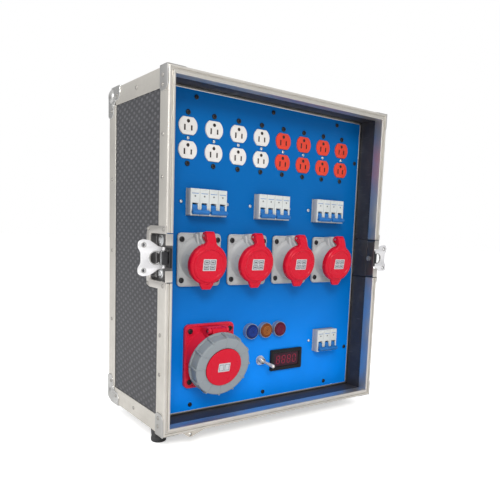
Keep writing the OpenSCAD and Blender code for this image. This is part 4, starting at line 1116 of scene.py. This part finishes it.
def build_socket_housing(number, x, z):
    """Grey flange with a raised border, round collar leaning down, and the hinge's neck."""
    b = Build("grey")
    place = on_panel(x, z)
    tilted = place @ rot_x(SOCKET_TILT)
    outer, bore = rectangle(84, 92, 7), circle(29.5, count=56)
    b.at(place).plate([outer, bore], 1.0, 5.2, 0.9)
    b.plate([inset(outer, 0.9), inset(outer, 2.6)], 4.9, 5.7, 0.35)
    for u, v in each_corner(35, 35):
        b.at(place, u, v, 4.9).lathe([(2.2, 0), (7.2, 0), (6.8, 1.1), (2.2, 1.1)], 28, closed=True)
    collar = rounded([(28, -6), (41.5, -6), (41.5, 3, 3), (36.5, 8, 5), (34.2, 14, 4),
                      (33.2, 24, 2), (33.0, 33, 0.8), (28, 33, 0.8)], 0, 4)
    b.at(tilted).lathe(collar, 64, closed=True)
    for angle in (22.5 + 45 * k for k in range(8)):
        under_hinge = 50 < angle < 130
        if not under_hinge:
            b.at(tilted @ rot_z(angle), 33).slab(rectangle(2.6, 2.2, 0.8), 4, 27.5, 0.8)
    neck = rounded([(26, -6), (46, -6, 1), (51.2, 16.6, 2.0), (42, 16.6, 1.2), (39, 22, 2),
                    (35.5, 28.0, 1.5), (26, 28.0)], 0, 3)
    b.at(tilted).beam(neck, 20.8, 1.2)
    stem = [(42.0, 13), (46.5, 13), (46.5, 25.6), (42.0, 25.6)]
    b.beam(stem, BARREL_W - 0.2, 0.3)
    b.shaft(5.75, BARREL_W - 0.2, *SOCKET_PIN)
    for s in (-1, 1):
        b.at(tilted, s * 10.2).beam(
            rounded([(24, -6), (44, -6, 1), (47, 9, 3), (36, 14, 6), (30, 20, 2), (24, 20)],
                    0, 4), 6.5, 1.5)
    b.finish(f"socket_body_{number}", "case",
             ["socket_housings"] if number == 1 else (), "grey_plastic")


def build_socket_lid(number, x, z):
    """Red spring lid: rounded rim, raised ring, plain label, lifting tab and hinge cover."""
    b = Build("red")
    place = on_panel(x, z) @ rot_x(SOCKET_TILT)
    face = rounded([(0, 41.0), (25.4, 41.0, 1), (26.6, 42.6, 1.2), (29.2, 42.6, 1.2),
                    (30.6, 40.8, 1.2), (33.4, 40.4, 1.5), (35.6, 38.0, 2.4), (35.6, 29.4, 0.5),
                    (33.7, 29.4, 0.3), (33.7, 33.6, 0.3), (0, 33.6)], 0, 4, closed=False)
    b.at(place).lathe(face, 72)
    tab = rounded([(-13.5, -32), (13.5, -32), (12.6, -35.5, 2), (7.6, -43.6, 2.2),
                   (-7.6, -43.6, 2.2), (-12.6, -35.5, 2)], 0, 4)
    b.slab(tab, 33.9, 39.2, 1.3, 0.8)
    for k in (-1, 0, 1):
        b.at(place, 0, -39.6 + k * 1.7, 39.0).slab(rectangle(9, 0.8, 0.3), 0, 0.5, 0.25)
    cover = [(27, 35, 0), (27, 41.4, 0.9), (33, 41.8, 0.9), (39, 41.2, 0.9), (46.5, 37.2, 2),
             (52.0, 33.4, 3), (55.0, 29.0, 1.6), (54.6, 28.3, 0.2)]
    hollow = [(y, z, 0) for y, z in arc(*SOCKET_PIN, 6.35, 26, 158, 12)]
    b.at(place).beam(rounded(cover + hollow + [(37.5, 33.4, 0), (33, 35, 0)], 0, 4),
                     LUG_W - 0.2, 0.5)
    shoulder = rounded([(-14.6, 22), (14.6, 22), (14.2, 30, 3), (8.4, 39.0, 3), (-8.4, 39.0, 3),
                        (-14.2, 30, 3)], 0)
    b.slab(shoulder, 34, 41.2, 1.4, 0.4)
    ear = [(36.5, 34), (41, 25), (42.4, 22.2)] + arc(*SOCKET_PIN, 5.9, 215, 360, 14) + \
          [(54.6, 28.6), (53.0, 31.6), (46.0, 36.6), (40, 38)]
    for s in (-1, 1):
        b.at(place, s * (LUG_W / 2 - 2.0)).beam(ear, 3.6, 0.6)
    label = rectangle(25, 20, 1.0)
    b.use("label_grey").at(place).slab(label, 40.9, 41.45, 0.2)
    b.use("label_dark")
    for u, v in each_corner(5.9, 4.5):
        b.at(place, u, v, 41.4).plate(
            [rectangle(10.0, 7.2, 0.6), rectangle(7.6, 4.8, 0.4)], 0, 0.12, 0.02)
        b.slab(rectangle(5.6, 2.2, 0.3), 0, 0.12, 0.02)
    name = f"socket_lid_{number}"
    b.finish(f"socket_cap_{number}", name, [name], "red_plastic")


# ---- Inlet ------------------------

INLET_W, INLET_H = 100, 114
INLET_TILT = 12.0
INLET_PIN = (54.0, 22.0)
RING_BACK, RING_FRONT, RING_R = 34.0, 57.2, 56.0


def inlet_place():
    flange_low = node_box("inlet_housing")[0]
    return centre_of("inlet_lid")[0], flange_low[2] + INLET_H / 2 - MID_Z


def build_inlet_housing(x, z):
    """Red flange with a swelling shroud and the block that carries the lid's hinge."""
    b = Build("inlet_red")
    place = on_panel(x, z)
    tilted = place @ rot_x(INLET_TILT)
    outer = rectangle(INLET_W, INLET_H, 9)
    b.at(place).plate([outer, circle(37.5, count=64)], 0.02, 6.8, 1.0)
    b.plate([inset(outer, 1.0), inset(outer, 4.2)], 6.5, 8.0, 0.6)
    for u, v in each_corner(40.5, 45.5):
        b.at(place, u, v, 6.6).lathe([(2.2, 0), (7.6, 0), (7.0, 1.4), (2.2, 1.4)], 28, closed=True)
    shroud = rounded([(36, -8), (50, -8), (49.3, 2, 3), (46, 12, 8), (42.2, 24, 8), (41, 34, 3),
                      (41, 46, 0.8), (36, 46, 0.8)], 0, 5)
    b.at(tilted).lathe(shroud, 72, closed=True)
    for s in (-1, 1):
        block = rounded([(36, -4), (52.5, -4, 1), (59.3, 17, 3), (59.3, 22, 5), (49, 22, 2),
                         (44.5, 25, 1), (36, 25)], 0, 4)
        b.at(tilted, s * 17.4).beam(block, 4.8, 0.8)
        b.shaft(5.7, 4.8, *INLET_PIN)
    base = rounded([(36, -4), (52.5, -4, 1), (56.5, 8, 2), (50, 12, 3), (36, 12)], 0, 4)
    b.at(tilted).beam(base, 39.4, 1.2)
    b.finish("inlet_body", "case", ["inlet_housing"], "red_plastic")


def build_inlet_lid(x, z):
    """Red lid inside the ring: centre disc with a plain label, and a wide hinge lug."""
    b = Build("red")
    place = on_panel(x, z) @ rot_x(INLET_TILT)
    cup = rounded([(0, 49.2), (45.6, 49.2, 0.5), (45.6, 32, 0.4), (47.1, 32, 0.4),
                   (47.1, 51.9, 0.8), (33, 51.9, 0.4), (33, 57.6, 0.2), (34.6, 57.7, 0.3),
                   (34.6, 58.9, 0.8), (31.5, 59.15, 1.0), (0, 59.15)], 0, 4, closed=False)
    b.at(place).lathe(cup, 72)
    lug = [(45.8, 30.2), (45.8, 33.3), (51, 33.2), (56, 29.6), (59.2, 26)] + \
        arc(*INLET_PIN, 5.9, 20, -150, 12) + [(46.2, 23)]
    b.beam(rounded([(y, z, 0.8) for y, z in lug[:5]] + [(y, z, 0) for y, z in lug[5:]], 0, 3),
           27.8, 1.0)
    b.use("label_grey").at(place).slab(rectangle(23, 16, 1.0), 59.0, 59.5, 0.2)
    b.use("label_dark")
    for u in (-1, 1):
        b.at(place, u * 5.4, 0, 59.45).plate(
            [rectangle(8.8, 11.6, 0.6), rectangle(7.2, 10.0, 0.4)], 0, 0.1, 0.02)
    b.finish("inlet_cap", "inlet_lid", ["inlet_lid"], "red_plastic")


def build_inlet_ring(x, z):
    """Bayonet ring: ribbed drum with a bright rear rim and a front face of fine rays."""
    b = Build("light_grey")
    place = on_panel(x, z) @ rot_x(INLET_TILT)
    wall = RING_R - 2.8
    drum = rounded([(47.6, RING_BACK), (RING_R, RING_BACK, 0.8), (RING_R, 37.0, 0.8),
                    (wall + 0.4, 37.6, 0.4), (wall, 54.2, 1.0), (wall - 0.4, 56.2, 0.8),
                    (wall - 2.2, 57.1, 1.2), (35.2, 57.1, 0.6), (34.7, 56.4, 0.3),
                    (34.7, 52.4), (47.6, 52.4)], 0, 4)
    b.at(place).lathe(drum, 96, closed=True)
    for k in range(12):
        turn = place @ rot_z(k * 30)
        rib = rounded([(wall - 1, RING_BACK + 0.3), (RING_R + 0.5, RING_BACK + 0.3, 1),
                       (RING_R + 0.5, 52, 2.5), (RING_R - 1.4, RING_FRONT, 1.0),
                       (wall - 1, RING_FRONT)], 0, 4)
        b.at(turn @ rot_z(-90)).beam(rib, 3.0, 0.9)
        b.at(turn).slab(rounded([(35.6, -0.55), (wall - 0.6, -0.75), (wall - 0.6, 0.75),
                                 (35.6, 0.55)], 0.3), 56.8, 57.6, 0.3)
    b.finish("inlet_collar", "inlet_ring", ["inlet_ring"], "light_grey_plastic")


# ---- Indicators ------------------------

def build_lamps():
    """Pilot lamps: bright bezel, and a domed lens with three raised rings."""
    bezels = Build("lamp_rim")
    for colour in ("blue", "amber", "red"):
        name = "pilot_lens_" + colour
        x, z, radius = centre_of(name)
        place = on_panel(x, z)
        rim = rounded([(9, 0), (radius + 0.6, 0), (radius + 0.6, 1.6, 0.6), (radius + 0.1, 2.6, 0.4),
                       (radius + 0.05, 9.6, 0.3), (radius - 0.9, 9.6, 0.3), (radius - 0.9, 2.2),
                       (9, 2.2)], 0, 3)
        bezels.use("lamp_rim").at(place).lathe(rim, 56, closed=True)
        bezels.use("black").lathe([(0, -45), (11, -45), (11, -1), (0, -1)], 32)
        b = Build(colour + "_lens")
        dome = rounded([(0, -3), (9, -3), (9, 2.3), (radius - 1.0, 2.3), (radius - 1.0, 9.4, 0.5),
                        (radius - 1.4, 11.4, 1.6), (radius - 4.4, 12.3, 3), (0, 12.5)],
                       0, 5, closed=False)
        b.at(place).lathe(dome, 56)
        b.use(colour + "_glow")
        for k in range(3):
            r = 2.2 + 2.6 * k
            b.lathe([(r, 12.3), (r + 0.5, 12.75), (r + 1.0, 12.3)], 40, closed=True)
        b.finish("lamp_" + colour, "case", [name], colour + "_lens")
    bezels.finish("lamp_bezels", "case", ["pilot_bodies"], "black_plastic")


DIGIT_BARS = {
    "a": (0, 1, 0), "b": (0.5, 0.5, 1), "c": (0.5, -0.5, 1), "d": (0, -1, 0),
    "e": (-0.5, -0.5, 1), "f": (-0.5, 0.5, 1), "g": (0, 0, 0),
}
DIGITS = {"0": "abcdef", "8": "abcdefg"}


def build_meter():
    """Panel meter: stepped bezel, smoked window and four dim generic digits behind it."""
    place = on_panel(*centre_of("meter_housing")[:2])
    b = Build("black")
    b.at(place).plate([rectangle(78, 42, 2.4), rectangle(62, 27, 1.2)], 0.02, 5.0, 1.0)
    b.plate([rectangle(74.5, 38.5, 1.8), rectangle(65, 30, 1.4)], 4.8, 5.9, 0.4)
    b.slab(rectangle(72, 36.4, 1), -28, -0.5, 0.5, 0.5)
    for s in (-1, 1):
        b.at(place, s * 35.2, -15.4, 4.9).slab(rectangle(3.2, 3.2, 0.8), 0, 0.5, 0.2)
    b.finish("meter_case", "case", ["meter_housing"], "black_plastic")
    w = Build("dark_window")
    w.at(place).slab(rectangle(61.6, 26.6, 1.0), 0.4, 3.4, 0.3)
    w.use("digit_glow")
    for i, digit in enumerate("8880"):
        for bar in DIGITS[digit]:
            u, v, upright = DIGIT_BARS[bar]
            size = (1.3, 6.4) if upright else (5.2, 1.3)
            w.at(place, -20.2 + 13.5 * i + u * 7.4 + v * 0.7, v * 7.6, 3.35).slab(
                rectangle(size[0], size[1], 0.4), 0, 0.25, 0.08)
    w.finish("meter_glass", "case", ["meter_window"], "dark_window")


def build_toggle():
    """Toggle switch: dress nut, threaded neck and bat lever."""
    place = on_panel(*centre_of("toggle_body")[:2])
    b = Build("chrome")
    b.at(place).lathe([(0, -4), (8.8, -4), (8.8, 0.05), (9.4, 0.05), (9.4, 0.6), (5, 0.7),
                       (0, 0.7)], 36)
    b.loft([circle_ring(5, 0.6), hexagon_ring(15.2, 0.6), hexagon_ring(15.9, 1.0),
            hexagon_ring(15.9, 3.0), hexagon_ring(14.8, 3.7), circle_ring(6.0, 3.8)])
    thread = [(4.4, 0.7)]
    for k in range(7):
        thread += [(5.95, 3.6 + k), (5.55, 4.1 + k)]
    thread += [(5.9, 10.6), (5.4, 11.0), (4.7, 10.6), (4.4, 8.0)]
    b.lathe(thread, 36, closed=True)
    b.use("black").slab(rectangle(24, 15, 1), -26, -3.2, 0.5, 0.5)
    b.finish("toggle_neck", "case", ["toggle_body"], "steel")
    t = Build("toggle_steel")
    lever = place @ move(0, 0, 8) @ rot_z(-38) @ rot_y(22)
    bat = rounded([(0, -4.0), (2.6, -3.2, 1.5), (4.1, 0, 2), (2.9, 3.0, 1), (2.3, 4.5, 1),
                   (2.3, 8, 3), (3.5, 22, 2), (3.7, 27, 2), (2.4, 29.6, 1.5), (0, 29.6)],
                  0, 5, closed=False)
    t.at(lever).lathe(bat, 32)
    t.finish("toggle_bat", "toggle_lever", ["toggle_lever"], "chrome")


# ---- Everything in place ------------------------

def build_all():
    build_profile()
    build_edges()
    build_braces()
    build_ball_corners()
    build_rivets()
    build_feet()
    build_eye()
    for side, mirror in MIRRORS.items():
        build_latch_dish(side, mirror)
        build_latch_hub(side, mirror)
        build_latch_wing(side, mirror)
        build_latch_hook(side, mirror)
    build_handle()
    build_panel_trim()
    build_screws()
    build_outlets("outlets_white", "white", "white_plastic")
    build_outlets("outlets_orange", "orange", "orange_plastic")
    build_breakers()
    for number, group in enumerate(breaker_groups(), 1):
        build_breaker_handle(number, *group)
    for socket in socket_places():
        build_socket_housing(*socket)
        build_socket_lid(*socket)
    inlet = inlet_place()
    build_inlet_housing(*inlet)
    build_inlet_lid(*inlet)
    build_inlet_ring(*inlet)
    build_lamps()
    build_meter()
    build_toggle()


build_all()


# ---- Stage ------------------------

def floor_material(name):
    """Pale, faintly mottled and slightly self-lit, so that it fades into the backdrop."""
    g = look_graph(name)
    seen = g.node("ShaderNodeLightPath").outputs["Is Camera Ray"]
    g.surface(Base_Color=g.mix(g.noise(40, 3), rgb(0.95, 0.95, 0.95), rgb(0.935, 0.935, 0.935)),
              Roughness=0.95, Specular_IOR_Level=0.0, Emission_Color=rgb(1, 1, 1),
              Emission_Strength=g.times(seen, 0.5))


def add_floor(size=12.0):
    """Pale floor reaching far behind the case."""
    mesh = bpy.data.meshes.new("floor")
    mesh.from_pydata([(-size, -size, 0), (size, -size, 0), (size, size, 0), (-size, size, 0)],
                     [], [(0, 1, 2, 3)])
    floor = place_object("floor", mesh)
    floor_material("floor_white")
    mesh.materials.append(LOOKS["floor_white"])


def add_area_light(name, place, target, size, watts, color=(1, 1, 1)):
    data = bpy.data.lights.new(name, "AREA")
    data.shape = "RECTANGLE"
    data.size, data.size_y = size
    data.energy = watts
    data.color = color
    light = place_object(name, data)
    light.location = place
    light.rotation_euler = (Vector(target) - Vector(place)).to_track_quat("-Z", "Y").to_euler()


def add_world():
    """White backdrop for the camera; a room bright above and dimmer at eye level for the rest."""
    world = bpy.data.worlds.new("studio")
    bpy.context.scene.world = world
    g = Graph(world)
    up = g.split(g.texture.outputs["Generated"])[2]
    room, backdrop = [g.node("ShaderNodeBackground", inputs).outputs[0] for inputs in (
        {"Color": rgb(0.985, 0.99, 1.0),
         "Strength": g.range(up, -0.15, 0.75, 0.34, 0.95, interpolation_type="SMOOTHSTEP")},
        {"Color": rgb(1, 1, 1)})]
    seen = g.node("ShaderNodeLightPath").outputs["Is Camera Ray"]
    mixed = g.node("ShaderNodeMixShader", {0: seen, 1: room, 2: backdrop})
    g.node("ShaderNodeOutputWorld", {0: mixed.outputs[0]})


def add_lights():
    """A warm key from high on the camera's side and a weaker fill from the left."""
    target = (0, 0, 0.3)
    add_area_light("key", (-1.3, -2.3, 1.9), target, (1.0, 1.0), 42, (1.0, 0.985, 0.96))
    add_area_light("fill", (-2.6, 0.2, 1.1), target, (1.2, 1.2), 14)


def add_camera():
    """Camera solved from the case's and the panel's known sizes."""
    data = bpy.data.cameras.new("camera")
    data.sensor_width = 36.0
    data.lens = 39.755
    data.shift_x, data.shift_y = -0.0660, 0.1004
    camera = place_object("camera", data)
    forward = Vector((0.6107, 0.78147, -0.1279)).normalized()
    right = Vector((0.79062, -0.61078, 0.04317))
    right = (right - forward * right.dot(forward)).normalized()
    turn = Matrix((right, right.cross(forward), -forward)).transposed()
    camera.matrix_world = move(-0.62324, -0.91122, 0.36836) @ turn.to_4x4()
    bpy.context.scene.camera = camera


add_floor()
add_world()
add_lights()
add_camera()
bpy.context.scene.view_settings.view_transform = "Standard"
